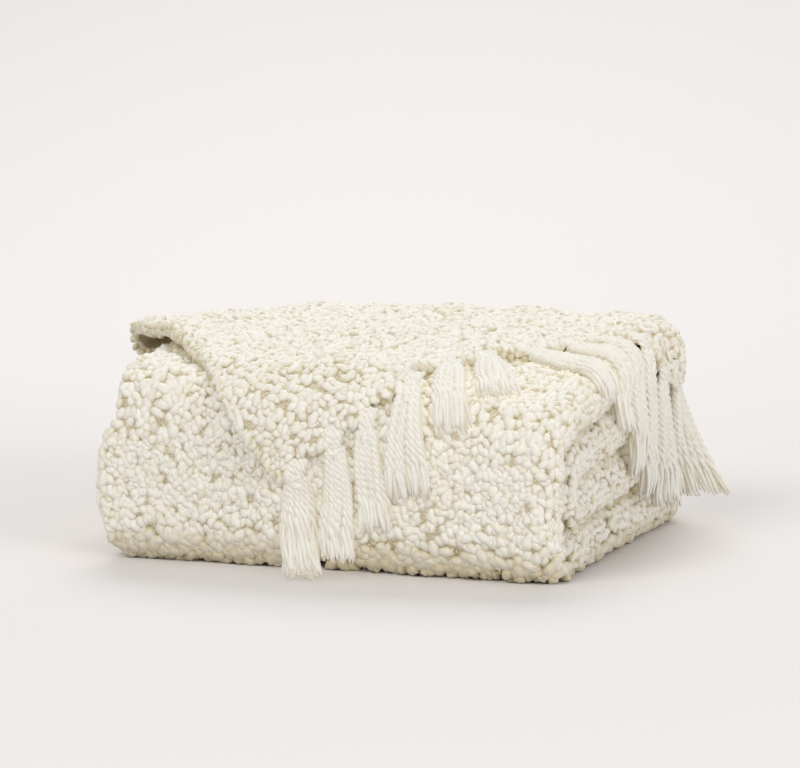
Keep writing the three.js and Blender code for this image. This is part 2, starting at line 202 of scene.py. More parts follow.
@dataclass(frozen=True)
class ClothSizes:
    """Sizes of the cloth and of its folds."""

    flat_width: float = 1.27
    flat_length: float = 1.52
    ply: float = 0.0114
    ply_gap: float = 0.0012
    layer_gap: float = 0.0022
    flap_ply: float = 0.010
    flap_rest: float = 0.0026
    ground: float = 0.0044
    width: float = 0.412
    depth: float = 0.370
    wrap_bend: float = 0.024
    back_bend: float = 0.026
    end_recess: float = 0.026
    right_bend: float = 0.019
    back_hem: float = 0.022

    @property
    def pitch(self) -> float:
        """From one ply of the strip to the next."""
        return self.ply + self.ply_gap

    @property
    def strip(self) -> float:
        """Thickness of the letter-folded strip."""
        return 3 * self.ply + 2 * self.ply_gap

    @property
    def layer(self) -> float:
        """From one layer of the strip to the next."""
        return self.strip + self.layer_gap

    @property
    def height(self) -> float:
        """Height of the four layers."""
        return 4 * self.strip + 3 * self.layer_gap

    @property
    def wrap_outer(self) -> float:
        """Outer radius of the front wrap."""
        return self.wrap_bend + self.strip / 2

    @property
    def flap_level(self) -> float:
        """Middle of the flap above the stack."""
        return self.flap_rest + self.flap_ply / 2


@dataclass(frozen=True)
class FoldSteps:
    """How finely the runs and turns of the two folds are divided."""

    letter_panel: int = 28
    letter_inner: int = 8
    letter_outer: int = 12
    book_panel: int = 20
    book_turn: int = 12
    free_end: int = 2
    wrap_side: int = 3
    wrap_turn: int = 8
    wrap_wall: int = 6


@dataclass(frozen=True)
class Settling:
    """Soft settling of the pile, added to the plain folds."""

    back_rise: float = 0.014
    back_rise_from: float = -0.265
    back_rise_to: float = 0.125
    right_sag: float = 0.020
    right_sag_reach: tuple[float, float] = (0.120, 0.200)
    left_sag: float = 0.009
    left_sag_reach: tuple[float, float] = (0.150, 0.120)
    left_tuck: float = 0.017
    left_tuck_height: float = 0.062
    left_skew: float = 0.012
    left_share: float = 0.25
    left_lean: float = 0.018
    left_lean_span: tuple[float, float] = (0.088, 0.130)
    shoulder: tuple[float, float] = (0.006, 0.013)
    shoulder_reach: tuple[tuple[float, float], ...] = ((0.120, 0.030), (0.110, 0.045), (0.045, 0.012))
    back_left_sag: float = 0.015
    back_left_reach: tuple[float, float] = (0.266, 0.245)
    ripple: float = 0.0022
    ripple_wave: float = 0.118


@dataclass(frozen=True)
class Crease:
    """A soft trough or ridge along a straight stretch of the pile's surface."""

    start: tuple[float, float, float]
    stop: tuple[float, float, float]
    reach: float
    push: tuple[float, float, float]


CREASES = [
    Crease((-0.206, -0.185, 0.098), (-0.208, 0.150, 0.104), 0.013, (0.0060, 0.0, 0.0)),
    Crease((0.178, -0.200, 0.015), (0.176, -0.195, 0.115), 0.008, (0.0, 0.0035, 0.0)),
    Crease((-0.150, -0.200, 0.052), (0.060, -0.200, 0.066), 0.016, (0.0, 0.0030, 0.0)),
    Crease((-0.170, -0.150, 0.165), (0.010, -0.060, 0.180), 0.018, (0.0, 0.0, -0.0030)),
    Crease((-0.120, 0.020, 0.180), (0.090, 0.090, 0.180), 0.022, (0.0, 0.0, -0.0040)),
    Crease((-0.060, -0.110, 0.170), (0.070, -0.150, 0.160), 0.014, (0.0, 0.0, 0.0025)),
    Crease((0.214, -0.080, 0.030), (0.214, 0.090, 0.034), 0.016, (-0.0050, 0.0, 0.0)),
    Crease((0.214, -0.100, 0.120), (0.214, 0.010, 0.128), 0.014, (-0.0040, 0.0, 0.0)),
    Crease((-0.060, 0.205, 0.030), (-0.040, 0.205, 0.150), 0.022, (0.0, -0.0050, 0.0)),
    Crease((0.110, 0.205, 0.030), (0.080, 0.205, 0.160), 0.018, (0.0, 0.0040, 0.0)),
]


UNEVEN_SEED = 11
UNEVEN_COUNT = 9
UNEVEN_SPAN = (0.055, 0.120)
UNEVEN_REACH = 0.0009
_uneven = np.random.default_rng(UNEVEN_SEED)
UNEVEN_WAVES = unit(_uneven.normal(size=(UNEVEN_COUNT, 3))) * (
    2 * np.pi / _uneven.uniform(*UNEVEN_SPAN, size=(UNEVEN_COUNT, 1))
)
UNEVEN_PHASES = _uneven.uniform(0, 2 * np.pi, size=UNEVEN_COUNT)


@dataclass(frozen=True)
class FlapSizes:
    """The opened corner, measured along the path over the stack."""

    floor_run: float = 0.060
    floor_turn: float = 0.034
    floor_swing: float = 0.36
    corner_x: float = -0.018
    corner_height: float = 0.079
    selvedge_slope: float = 1.0
    selvedge_start: float = 0.004
    roll_lift: float = 0.012
    roll_reach: float = 0.150
    roll_out: float = 0.042
    roll_droop: tuple[float, float] = (0.006, 0.015)
    roll_droop_span: tuple[float, float] = (0.030, -0.014)
    roll_rise: tuple[float, float] = (0.060, 0.150)
    roll_fall: tuple[float, float] = (0.190, 0.330)
    roll_fall_share: float = 0.55
    roll_opens: tuple[float, float] = (0.300, 0.370)
    roll_pinch: tuple[float, float] = (0.240, 0.268)
    pinched: float = 0.0047
    tuck_length: float = 0.058
    tuck_sink: float = 0.0012
    strand_reach: float = 0.0046
    scallop: float = 0.0105
    scallops: int = 6
    edge_turn: tuple[float, float] = (0.384, 0.396)


@dataclass(frozen=True)
class TasselPlace:
    """Root and lie of one tassel on the fringe edge.

    Right and up give its root. Heading is its lie in degrees, 0 down the front and 90 down the right end.
    Fan is the spread of its hem, lean how far loose strands stand out, and drawn how far its knot is pulled
    in. Twisted is the share of its length down to which the strands keep their twist.
    """

    right: float
    up: float
    heading: float
    length: float
    fan: float
    lean: float = 0.0
    drawn: float = 0.0
    twisted: float = 0.45


TASSEL_PLACES = [
    TasselPlace(-0.018, 0.003, 0, 0.108, 0.85, twisted=0.12),
    TasselPlace(0.018, 0.030, 2, 0.102, 0.72),
    TasselPlace(0.044, 0.044, 5, 0.086, 0.68),
    TasselPlace(0.074, 0.070, 6, 0.086, 0.95, drawn=0.0015),
    TasselPlace(0.090, 0.120, 18, 0.086, 0.72, drawn=0.0008),
    TasselPlace(0.107, 0.166, 24, 0.092, 0.85),
    TasselPlace(0.136, 0.210, 70, 0.084, 0.75),
    TasselPlace(0.160, 0.246, 78, 0.094, 0.72),
    TasselPlace(0.182, 0.275, 84, 0.112, 0.66),
    TasselPlace(0.202, 0.303, 90, 0.116, 0.64),
    TasselPlace(0.224, 0.334, 92, 0.106, 0.66, lean=0.012),
    TasselPlace(0.236, 0.368, 93, 0.088, 0.80, lean=0.042, drawn=0.0021),
]


class FoldedForm:
    """Shape of the folded throw: both folds, the settling, and the path over the outside of the pile."""

    steps = FoldSteps()

    def __init__(self, cloth: ClothSizes, settling: Settling, flap: FlapSizes) -> None:
        """Work the fold paths out of the sizes.

        Args:
            cloth: Sizes of cloth and folds.
            settling: Soft settling of the pile.
            flap: Sizes of the opened corner.
        """
        self.cloth, self.settling, self.flap = cloth, settling, flap
        self.left, self.right = -cloth.width / 2, cloth.width / 2
        self.front, self.back = -cloth.depth / 2, cloth.depth / 2
        self.letter = self._letter_fold()
        self.book = self._book_fold()
        self.over = self._over_path()
        _, _, self.front_run, self.front_bend, self.top_run, self.back_turn, _ = self.over.starts
        self.corner = self.front_run + flap.corner_height - flap.floor_turn
        self.flap_end = self.over.length - self.corner
        self.floor_drop = cloth.flap_level - flap.strand_reach
        roots = [tassel.up for tassel in TASSEL_PLACES]
        self.edge_up = np.array([0.0, *roots, *flap.edge_turn, self.flap_end])
        hem = self.right - cloth.right_bend
        self.edge_right = np.array(
            [flap.corner_x, *[t.right for t in TASSEL_PLACES], self.right + cloth.right_bend, hem, hem]
        )

    def _letter_fold(self) -> FoldPath:
        """Fold across the width: middle ply, outer ply, inner ply."""
        cloth = self.cloth
        right_centre = self.right - cloth.pitch - cloth.ply / 2
        left_centre = self.left + (cloth.pitch + cloth.ply) / 2
        panel = Leg(run=right_centre - left_centre, steps=self.steps.letter_panel)
        legs = [
            panel,
            Leg(radius=cloth.pitch / 2, turn=-math.pi, steps=self.steps.letter_inner),
            panel,
            Leg(radius=cloth.pitch, turn=-math.pi, steps=self.steps.letter_outer),
            panel,
            Leg(run=cloth.pitch / 2),
        ]
        return FoldPath((right_centre, 0.0), math.pi, legs)

    def _book_fold(self) -> FoldPath:
        """Fold along the length: free end, inner bend, back bend, underside, front wrap, top."""
        cloth, steps = self.cloth, self.steps
        wrap_centre = self.front + cloth.wrap_outer
        half_turn = (cloth.layer + cloth.strip) / 2
        inner_centre = self.front + cloth.strip + cloth.layer_gap + half_turn
        back_centre = self.back - half_turn
        panel = Leg(run=back_centre - inner_centre, steps=steps.book_panel)
        free_end = Leg(run=self.back - cloth.end_recess - back_centre, steps=steps.free_end)
        wrap_side = Leg(run=inner_centre - wrap_centre, steps=steps.wrap_side)
        wrap_turn = Leg(radius=cloth.wrap_bend, turn=-math.pi / 2, steps=steps.wrap_turn)
        legs = [
            free_end,
            panel,
            Leg(radius=cloth.layer / 2, turn=math.pi, steps=steps.book_turn),
            panel,
            Leg(radius=cloth.layer / 2, turn=-math.pi, steps=steps.book_turn),
            panel,
            wrap_side,
            wrap_turn,
            Leg(run=3 * cloth.layer - 2 * cloth.wrap_bend, steps=steps.wrap_wall),
            wrap_turn,
            wrap_side,
            panel,
            free_end,
        ]
        return FoldPath((self.back - cloth.end_recess, cloth.strip / 2 + 2 * cloth.layer), math.pi, legs)

    def _over_path(self) -> FoldPath:
        """Path over the outside of the stack: floor, front, top, back."""
        cloth, flap = self.cloth, self.flap
        legs = [
            Leg(run=flap.floor_run),
            Leg(radius=flap.floor_turn, turn=math.pi / 2),
            Leg(run=cloth.height - cloth.wrap_outer - flap.floor_turn),
            Leg(radius=cloth.wrap_outer, turn=-math.pi / 2),
            Leg(run=cloth.depth - cloth.wrap_outer - cloth.back_bend),
            Leg(radius=cloth.back_bend, turn=-math.pi / 2),
            Leg(run=cloth.height - cloth.back_bend - cloth.back_hem),
        ]
        return FoldPath((self.front - flap.floor_turn - flap.floor_run, 0.0), 0.0, legs)

    def settle(self, x: Array, y: Array, z: Array) -> Array:
        """Soft settling of the plain folds; the underside stays flat.

        Args:
            x: Places along the front.
            y: Places from front to back.
            z: Heights in the plain stack.

        Returns:
            Points of the settled pile, with x, y and z on the last axis.
        """
        s = self.settling
        share = np.clip(z / self.cloth.height, 0.0, 1.0)
        right_sag = ease(self.right - s.right_sag_reach[0], self.right, x)
        right_sag = right_sag * ease(self.front + s.right_sag_reach[1], self.front, y)
        left_sag = ease(self.left + s.left_sag_reach[0], self.left, x)
        near_front = ease(self.front + s.left_sag_reach[1], self.front, y)
        back_left = np.clip((self.left - x) / s.back_left_reach[0] + 1.0, 0.0, 1.0) ** 2
        back_left = back_left * ease(self.back - s.back_left_reach[1], self.back, y)
        sag = s.right_sag * right_sag + s.left_sag * left_sag * near_front + s.back_left_sag * back_left
        rise = s.back_rise * ease(s.back_rise_from, s.back_rise_to, y) - sag
        left_end = ease(self.left * s.left_share, self.left, x)
        tuck = s.left_tuck * (1.0 - np.clip(z / s.left_tuck_height, 0.0, 1.0)) ** 2
        lean = s.left_lean * ease(*s.left_lean_span, z)
        at_end, at_front, at_top = s.shoulder_reach
        full = ease(self.left + at_end[0], self.left + at_end[1], x)
        full = full * ease(self.front + at_front[0], self.front + at_front[1], y)
        full = full * ease(self.cloth.height - at_top[0], self.cloth.height - at_top[1], z)
        slack = s.ripple * np.sin(2 * np.pi * x / s.ripple_wave) * np.sin(np.pi * share)
        moved = (
            x + left_end * (tuck + lean + s.left_skew * near_front),
            y + slack * ease(0.0, self.front, y) - s.shoulder[0] * full,
            z + rise * share + s.shoulder[1] * full,
        )
        return self._crease(np.stack(np.broadcast_arrays(*moved), axis=-1))

    def _crease(self, points: Array) -> Array:
        """Press the creases and a slight unevenness into settled points.

        Args:
            points: Points of the pile.

        Returns:
            The pressed points.
        """
        share = np.clip(points[..., 2:] / self.cloth.height, 0.0, 1.0)
        pressed = points.copy()
        for crease in CREASES:
            start, stop = np.array(crease.start), np.array(crease.stop)
            run = stop - start
            along = np.clip((points - start) @ run / (run @ run), 0.0, 1.0)
            gap = np.linalg.norm(points - start - along[..., None] * run, axis=-1, keepdims=True)
            pressed += np.exp(-((gap / crease.reach) ** 2)) * np.array(crease.push)
        waves = np.sin(points @ UNEVEN_WAVES.T + UNEVEN_PHASES) * UNEVEN_REACH
        moves = np.stack([waves[..., :3].sum(-1), waves[..., 3:6].sum(-1), waves[..., 6:].sum(-1)], -1)
        return pressed + moves * share

    def stack_point(self, across: Array, along: Array, offset: Array | float) -> Array:
        """Point of the stack's cloth.

        Args:
            across: Distances through the letter fold.
            along: Distances through the book fold.
            offset: Distances off the middle of the cloth.

        Returns:
            Points of the pile.
        """
        x, level = self.letter.at(across, offset)
        y, z = self.book.at(along, level)
        return self.settle(x, y, z)

    def drape(self, right: Array, along: Array, off: Array) -> Array:
        """Point over the outside of the stack.

        Args:
            right: Distances across, and down the right end.
            along: Distances along the path over floor, front, top and back.
            off: Heights above the stack's surface.

        Returns:
            Points of the pile.
        """
        right, along, off = np.broadcast_arrays(right, along, off)
        bend = self.cloth.right_bend
        past = right - (self.right - bend)
        angle = np.clip(past / bend, 0.0, np.pi / 2)
        over_x = self.right - bend + (bend + off) * np.sin(angle)
        over_lift = (bend + off) * np.cos(angle) - bend - (past - bend * angle)
        lift = off - self.floor_drop * ease(self.front_run, self.flap.floor_run, along)
        y, z = self.over.at(along, np.where(past > 0, over_lift, lift))
        return self.settle(np.where(past > 0, over_x, right), y, z)

    def roll_fullness(self, up: Array) -> Array:
        """How full the roll of the left edge is, on the way up from the corner."""
        f = self.flap
        return ease(*f.roll_rise, up) * (1.0 - f.roll_fall_share * ease(*f.roll_fall, up))

    def flap_lift(self, right: Array, up: Array) -> Array:
        """Loft of the flap above its rest, highest at the edge turned under at the left end.

        Args:
            right: Places across.
            up: Distances up from the corner.

        Returns:
            Heights above the rest.
        """
        spread = ease(self.left + self.flap.roll_reach, self.left, right)
        return self.flap.roll_lift * spread * self.roll_fullness(up)

    def flap_roll(self, up: Array) -> tuple[Array, Array, Array, Array]:
        """Roll of the flap's left edge.

        Args:
            up: Distances up from the corner.

        Returns:
            Level of its upper ply, level of its lower ply, its radius, and where it starts.
        """
        along = self.corner + up
        on_top = ease(self.front_bend, self.top_run, along)
        on_top = on_top * ease(self.back_turn, self.back_turn - self.cloth.back_bend, along)
        high = self.cloth.flap_level + self.flap_lift(self.left, up)
        low = self.cloth.flap_level - (self.cloth.flap_rest + self.flap.tuck_sink) * on_top
        low = mix(low, high - self.flap.pinched, ease(*self.flap.roll_pinch, up))
        radius = (high - low) / 2
        return high, low, radius, self.left - self.flap.roll_out + self.cloth.flap_ply / 2 + radius

    def flap_middle(self, right: Array, up: Array) -> Array:
        """Middle of the flap at places of the flat cloth.

        Args:
            right: Places across.
            up: Distances up from the corner.

        Returns:
            Points of the pile.
        """
        high, low, radius, start = self.flap_roll(up)
        angle = np.maximum((start - right) / radius, 0.0)
        rolled = np.minimum(angle, np.pi)
        turned = np.where(angle > np.pi, start + radius * (angle - np.pi), start - radius * np.sin(rolled))
        flat = right >= start
        place = np.where(flat, right, turned)
        under = (1.0 - np.cos(rolled)) / 2
        level = np.where(flat, self.cloth.flap_level + self.flap_lift(right, up), mix(high, low, under))
        out = [self.left + way for way in self.flap.roll_droop_span]
        hang = ease(*out, place) * ease(*self.flap.roll_rise, up)
        return self.drape(place, self.corner + up, level - hang * mix(*self.flap.roll_droop, under))

    def flap_frame(self, right: Array, up: Array) -> tuple[Array, Array, Array, Array]:
        """Middle of the flap with its directions.

        Args:
            right: Places across.
            up: Distances up from the corner.

        Returns:
            Points, directions across, directions up, and normals.
        """
        step = SLOPE_STEP
        across = unit(self.flap_middle(right + step, up) - self.flap_middle(right - step, up))
        over = unit(self.flap_middle(right, up + step) - self.flap_middle(right, up - step))
        return self.flap_middle(right, up), across, over, unit(np.cross(across, over))

    def flap_limits(self, up: Array) -> tuple[Array, Array]:
        """Ends of the flap's rows.

        Args:
            up: Distances up from the corner.

        Returns:
            Places of the selvedge and of the fringe edge.
        """
        f = self.flap
        _, _, radius, start = self.flap_roll(up)
        under = mix(start - np.pi * radius - f.tuck_length, start, ease(*f.roll_opens, up))
        selvedge = np.maximum(f.corner_x - f.selvedge_start - f.selvedge_slope * up, under)
        return selvedge, np.interp(up, self.edge_up, self.edge_right) - self._scallop(up)

    def _scallop(self, up: Array) -> Array:
        """How far the fringe edge draws back between two tassels.

        Args:
            up: Distances up from the corner.

        Returns:
            Distances across.
        """
        roots = np.array([(tassel.up, tassel.right) for tassel in TASSEL_PLACES])
        row = np.clip(np.searchsorted(roots[:, 0], up) - 1, 0, len(roots) - 2)
        rise, run = np.diff(roots, axis=0)[row].T
        share = np.clip((up - roots[row, 0].T) / rise, 0.0, 1.0)
        depth = np.where(row < self.flap.scallops, self.flap.scallop, 0.0)
        return depth * np.sin(np.pi * share) ** 2 * np.hypot(rise, run) / rise


@dataclass
class MeshArrays:
    """Points and faces of a mesh, with a map and named values for its points."""

    points: Array
    faces: Array
    uv: Array | None = None
    values: dict[str, Array] = field(default_factory=dict)


def mesh_object(name: str, arrays: MeshArrays, material: bpy.types.Material) -> bpy.types.Object:
    """Smooth object at the origin from arrays.

    Args:
        name: Name of the object and its mesh.
        arrays: Points, faces, map and values.
        material: Finish of the whole piece.

    Returns:
        The new object, linked to the scene.
    """
    count, sides = arrays.faces.shape
    mesh = bpy.data.meshes.new(name)
    mesh.vertices.add(len(arrays.points))
    mesh.vertices.foreach_set("co", np.ascontiguousarray(arrays.points, np.float32).ravel())
    mesh.loops.add(count * sides)
    mesh.loops.foreach_set("vertex_index", np.ascontiguousarray(arrays.faces, np.int32).ravel())
    mesh.polygons.add(count)
    mesh.polygons.foreach_set("loop_start", np.arange(count, dtype=np.int32) * sides)
    mesh.polygons.foreach_set("use_smooth", np.ones(count, bool))
    if arrays.uv is not None:
        layer = mesh.uv_layers.new(name="UVMap")
        corners = np.ascontiguousarray(arrays.uv[arrays.faces.ravel()], np.float32)
        layer.data.foreach_set("uv", corners.ravel())
    for key, value in arrays.values.items():
        attribute = mesh.attributes.new(key, "FLOAT", "POINT")
        attribute.data.foreach_set("value", np.ascontiguousarray(value, np.float32))
    mesh.materials.append(material)
    mesh.update(calc_edges=True)
    mesh.validate()
    piece = bpy.data.objects.new(name, mesh)
    bpy.context.scene.collection.objects.link(piece)
    return piece


def dress(piece: bpy.types.Object, node: str) -> None:
    """Put a piece in the place of a solid, on the part's one body.

    Args:
        piece: The piece.
        node: Name of the solid that it stands for.
    """
    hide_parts(node)
    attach(piece, "root")


def joined(parts: list[MeshArrays]) -> MeshArrays:
    """One set of arrays from several with faces of the same kind.

    Args:
        parts: Arrays to join.

    Returns:
        The joined arrays.
    """
    starts = np.cumsum([0, *[len(part.points) for part in parts[:-1]]])
    faces = np.concatenate([part.faces + start for part, start in zip(parts, starts)])
    uv = None if parts[0].uv is None else np.concatenate([part.uv for part in parts])
    values = {key: np.concatenate([part.values[key] for part in parts]) for key in parts[0].values}
    return MeshArrays(np.concatenate([part.points for part in parts]), faces, uv, values)


def closed_sheet(lower: Array, upper: Array, flat: Array) -> MeshArrays:
    """Closed sheet of quads from two faces.

    Args:
        lower: Points of one face, by column and row.
        upper: Points of the other face.
        flat: Places of the points on the flat cloth.

    Returns:
        Arrays of the sheet.
    """
    columns, rows, _ = lower.shape
    ids = np.arange(2 * columns * rows).reshape(2, columns, rows)
    low, high = ids
    quads = [
        np.stack([low[:-1, :-1], low[:-1, 1:], low[1:, 1:], low[1:, :-1]], -1).reshape(-1, 4),
        np.stack([high[:-1, :-1], high[1:, :-1], high[1:, 1:], high[:-1, 1:]], -1).reshape(-1, 4),
        np.stack([low[:-1, 0], low[1:, 0], high[1:, 0], high[:-1, 0]], -1),
        np.stack([low[1:, -1], low[:-1, -1], high[:-1, -1], high[1:, -1]], -1),
        np.stack([low[0, 1:], low[0, :-1], high[0, :-1], high[0, 1:]], -1),
        np.stack([low[-1, :-1], low[-1, 1:], high[-1, 1:], high[-1, :-1]], -1),
    ]
    points = np.concatenate([lower.reshape(-1, 3), upper.reshape(-1, 3)])
    return MeshArrays(points, np.concatenate(quads), np.tile(flat.reshape(-1, 2), (2, 1)))


@dataclass
class GroundCloth:
    """The woven ground of the throw: one sheet through both folds, and the opened corner."""

    form: FoldedForm
    flap_columns: int = 90
    fringe_row: float = 0.0036
    plain_row: float = 0.0080

    def stack(self) -> MeshArrays:
        """Sheet of the folded stack."""
        across, along = self.form.letter.stops(), self.form.book.stops()
        u, v = np.meshgrid(across, along, indexing="ij")
        half = self.form.cloth.ground / 2
        faces = [self.form.stack_point(u, v, np.full_like(u, side * half)) for side in (1, -1)]
        return closed_sheet(*faces, np.stack([u, v], -1))

    def corner(self) -> MeshArrays:
        """Sheet of the opened corner."""
        fringe = np.arange(0.0, TASSEL_PLACES[-1].up, self.fringe_row)
        plain = np.arange(TASSEL_PLACES[-1].up, self.form.flap_end, self.plain_row)
        up = np.concatenate([fringe, plain, [self.form.flap_end]])
        start, stop = self.form.flap_limits(up)
        share = np.linspace(0.0, 1.0, self.flap_columns)[:, None]
        right, rows = mix(start, stop, share), np.broadcast_to(up, (self.flap_columns, len(up)))
        middle, _, _, normal = self.form.flap_frame(right, rows)
        half = self.form.cloth.ground / 2
        return closed_sheet(middle - normal * half, middle + normal * half, np.stack([right, rows], -1))

    def build(self, material: bpy.types.Material) -> bpy.types.Object:
        """Make the cloth's piece.

        Args:
            material: Finish of the ground weave.

        Returns:
            The piece, in the place of the throw's solid.
        """
        piece = mesh_object("ground_cloth", joined([self.stack(), self.corner()]), material)
        bpy.ops.object.select_all(action="DESELECT")
        piece.select_set(True)
        bpy.context.view_layer.objects.active = piece
        bpy.ops.object.mode_set(mode="EDIT")
        bpy.ops.mesh.select_all(action="SELECT")
        bpy.ops.mesh.normals_make_consistent(inside=False)
        bpy.ops.object.mode_set(mode="OBJECT")
        dress(piece, "throw")
        return piece


@dataclass
class NubSeats:
    """Places of nubs on the cloth, with the directions of the cloth there."""

    points: Array
    along: Array
    normal: Array
    on_flap: Array
    open_share: Array
    stretch: Array

    def chosen(self, keep: Array) -> "NubSeats":
        """Only some of the seats.

        Args:
            keep: Mask or numbers of the seats to keep.

        Returns:
            The kept seats.
        """
        return NubSeats(*(getattr(self, row.name)[keep] for row in fields(self)))

    def with_more(self, more: "NubSeats") -> "NubSeats":
        """These seats and more of them.

        Args:
            more: Seats to add.

        Returns:
            All the seats.
        """
        pairs = [(getattr(self, row.name), getattr(more, row.name)) for row in fields(self)]
        return NubSeats(*(np.concatenate(pair) for pair in pairs))


@dataclass(frozen=True)
class LumpSizes:
    """Sizes of one kind of yarn lump and how unevenly it lies."""

    spacing: tuple[float, float]
    half_length: tuple[float, float]
    half_width: tuple[float, float]
    half_height: tuple[float, float]
    sides: int
    rings: int
    rise: tuple[float, float]
    tone: tuple[float, float]
    # Share of the lump's height moved into the painted shade colour.
    extra_painted_shade: float
    swing: float
    tilt: float
    jitter: float = 0.32
    growth: tuple[float, float] = (0.82, 1.15)
    kinds: int = 8
    waves: int = 4
    wave_span: tuple[float, float] = (1.6, 3.2)
    depth: float = 0.26


NUB = LumpSizes(
    spacing=(0.0047, 0.0054), half_length=(0.0045, 0.0066), half_width=(0.0033, 0.0045),
    half_height=(0.0029, 0.0041), sides=6, rings=4, rise=(0.05, 0.55), tone=(0.0, 1.0), extra_painted_shade=0.0,
    swing=0.70, tilt=0.34,
)
CRUMB = LumpSizes(
    spacing=(0.0027, 0.0029), half_length=(0.0014, 0.0022), half_width=(0.0011, 0.0015),
    half_height=(0.0009, 0.0014), sides=5, rings=3, rise=(0.10, 0.60), tone=(0.0, 0.5), extra_painted_shade=0.22,
    swing=1.5, tilt=0.30,
)


@dataclass
class NubField:
    """Yarn nubs over everything that shows of the cloth, and crumbs of yarn in the bare patches."""

    form: FoldedForm
    bare_wave: float = 0.034
    bare_share: float = 0.085
    bare_bends: tuple[float, float, float] = (0.43, 0.83, 0.37)
    bare_swings: tuple[float, float] = (1.7, 2.1)
    bare_samples: int = 20000
    flap_shift: float = 0.5
    limit_rows: int = 200
    edge_crowding: float = 1.6
    raw_crowding: float = 1.25
    flap_spread: float = 1.07
    groove_fill: float = 0.0045
    groove_growth: float = 0.25
    flap_open: float = 0.6
    most_stretch: float = 1.15
    roll_bare: float = 0.045
    mouth: float = 0.225
    base_height: float = 0.012
    top_facing: float = 0.5
    step: float = SLOPE_STEP
    sight: float = 0.30
    near: float = 0.055
    floor_reach: float = 2.0
    floor_low: float = -0.0002
    soft_share: float = 0.7
    floor_share: float = 0.30
    sight_start: float = 0.0025
    sight_cone: float = 1.15
    sight_rays: int = 14
    odd_way: tuple[float, float, float] = (0.31, 0.67, 0.67)
    seed: int = 5
    rng: np.random.Generator = field(init=False)
    bare_level: float = field(init=False)
    cloth_faces: int = field(init=False, default=0)
    floor_face: int = field(init=False, default=0)

    def __post_init__(self) -> None:
        """Start the draws from the seed and find the level of the bare patches."""
        self.rng = np.random.default_rng(self.seed)
        sample = self.rng.uniform(0.0, 1.0, (2, self.bare_samples))
        self.bare_level = float(np.quantile(self.bareness(*sample, 0.0), 1.0 - self.bare_share))

    def grid(
        self, lump: LumpSizes, start: tuple[float, float], stop: tuple[float, float], spread: float = 1.0
    ) -> tuple[Array, Array]:
        """Jittered rows of places on the flat cloth.

        Args:
            lump: Kind of lump that sits there.
            start: Lowest places.
            stop: Highest places.
            spread: How much wider apart than usual the places lie.

        Returns:
            The two flat coordinates of the places.
        """
        wide, long = (spread * space for space in lump.spacing)
        first = np.arange(start[0], stop[0], wide)
        second = np.arange(start[1], stop[1], long)
        u, v = np.meshgrid(first, second, indexing="ij")
        u = u + self.rng.uniform(-lump.jitter, lump.jitter, u.shape) * wide
        v = v + self.rng.uniform(-lump.jitter, lump.jitter, v.shape) * long
        v = v + (np.arange(len(first)) % 2)[:, None] * long / 2
        return np.clip(u, start[0], stop[0]).ravel(), np.clip(v, start[1], stop[1]).ravel()

    def bareness(self, u: Array, v: Array, shift: float) -> Array:
        """How bare the cloth is: the highest values lie in patches without nubs.

        Args:
            u: Flat coordinates across.
            v: Flat coordinates along.
            shift: Moves the pattern of patches.

        Returns:
            A value for each place.
        """
        turn = 2 * np.pi / self.bare_wave
        slow, middle, slower = self.bare_bends
        across = u * turn + self.bare_swings[0] * np.sin(v * turn * slow + shift)
        along = v * turn * middle + self.bare_swings[1] * np.sin(u * turn * slower - shift)
        return np.sin(across) * np.sin(along)

    def carries(self, lump: LumpSizes, u: Array, v: Array, shift: float) -> Array:
        """Places that carry a kind of lump: nubs all over, crumbs in the bare patches.

        Args:
            lump: Kind of lump.
            u: Flat coordinates across.
            v: Flat coordinates along.
            shift: Moves the pattern of patches.

        Returns:
            Mask of the places that carry one.
        """
        bare = self.bareness(u, v, shift) > self.bare_level
        return bare if lump is CRUMB else ~bare

    def stack_seats(self, lump: LumpSizes) -> NubSeats:
        """Seats of a kind of lump on both faces of the folded stack."""
        half = self.form.cloth.ground / 2
        seats = []
        for side in (1, -1):
            u, v = self.grid(lump, (0.0, 0.0), (self.form.letter.length, self.form.book.length))
            keep = self.carries(lump, u, v, side)
            u, v = u[keep], v[keep]
            points = self.form.stack_point(u, v, side * half)
            normal = unit(points - self.form.stack_point(u, v, np.zeros_like(u)))
            along = self.form.stack_point(u, v + self.step, side * half) - points
            across = self.form.stack_point(u + self.step, v, side * half) - points
            area = np.linalg.norm(np.cross(across, along), axis=-1) / self.step ** 2
            seats.append((points, unit(along), normal, np.clip(np.sqrt(area), 1.0, self.most_stretch)))
        points, along, normal, stretch = (np.concatenate(rows) for rows in zip(*seats))
        return NubSeats(points, along, normal, np.zeros(len(points), bool), np.ones(len(points)), stretch)

    def raw_edge_seats(self, lump: LumpSizes) -> NubSeats:
        """Seats along the raw edges of the folded stack, facing out of them."""
        form = self.form
        wide, long = form.letter.length, form.book.length
        run_u = np.arange(0.0, wide, lump.spacing[0] / self.raw_crowding)
        run_v = np.arange(0.0, long, lump.spacing[1] / self.raw_crowding)
        rows = []
        for u, v, (out_u, out_v) in (
            (np.zeros_like(run_v), run_v, (-1.0, 0.0)),
            (np.full_like(run_v, wide), run_v, (1.0, 0.0)),
            (run_u, np.zeros_like(run_u), (0.0, -1.0)),
            (run_u, np.full_like(run_u, long), (0.0, 1.0)),
        ):
            level = np.zeros_like(u)
            points = form.stack_point(u, v, level)
            inner = form.stack_point(u - out_u * self.step, v - out_v * self.step, level)
            beside = form.stack_point(u - abs(out_v) * self.step, v - abs(out_u) * self.step, level)
            rows.append((points, unit(points - beside), unit(points - inner)))
        points, along, normal = (np.concatenate(column) for column in zip(*rows))
        ones = np.ones(len(points))
        return NubSeats(points, along, normal, ones < 0, ones, ones)

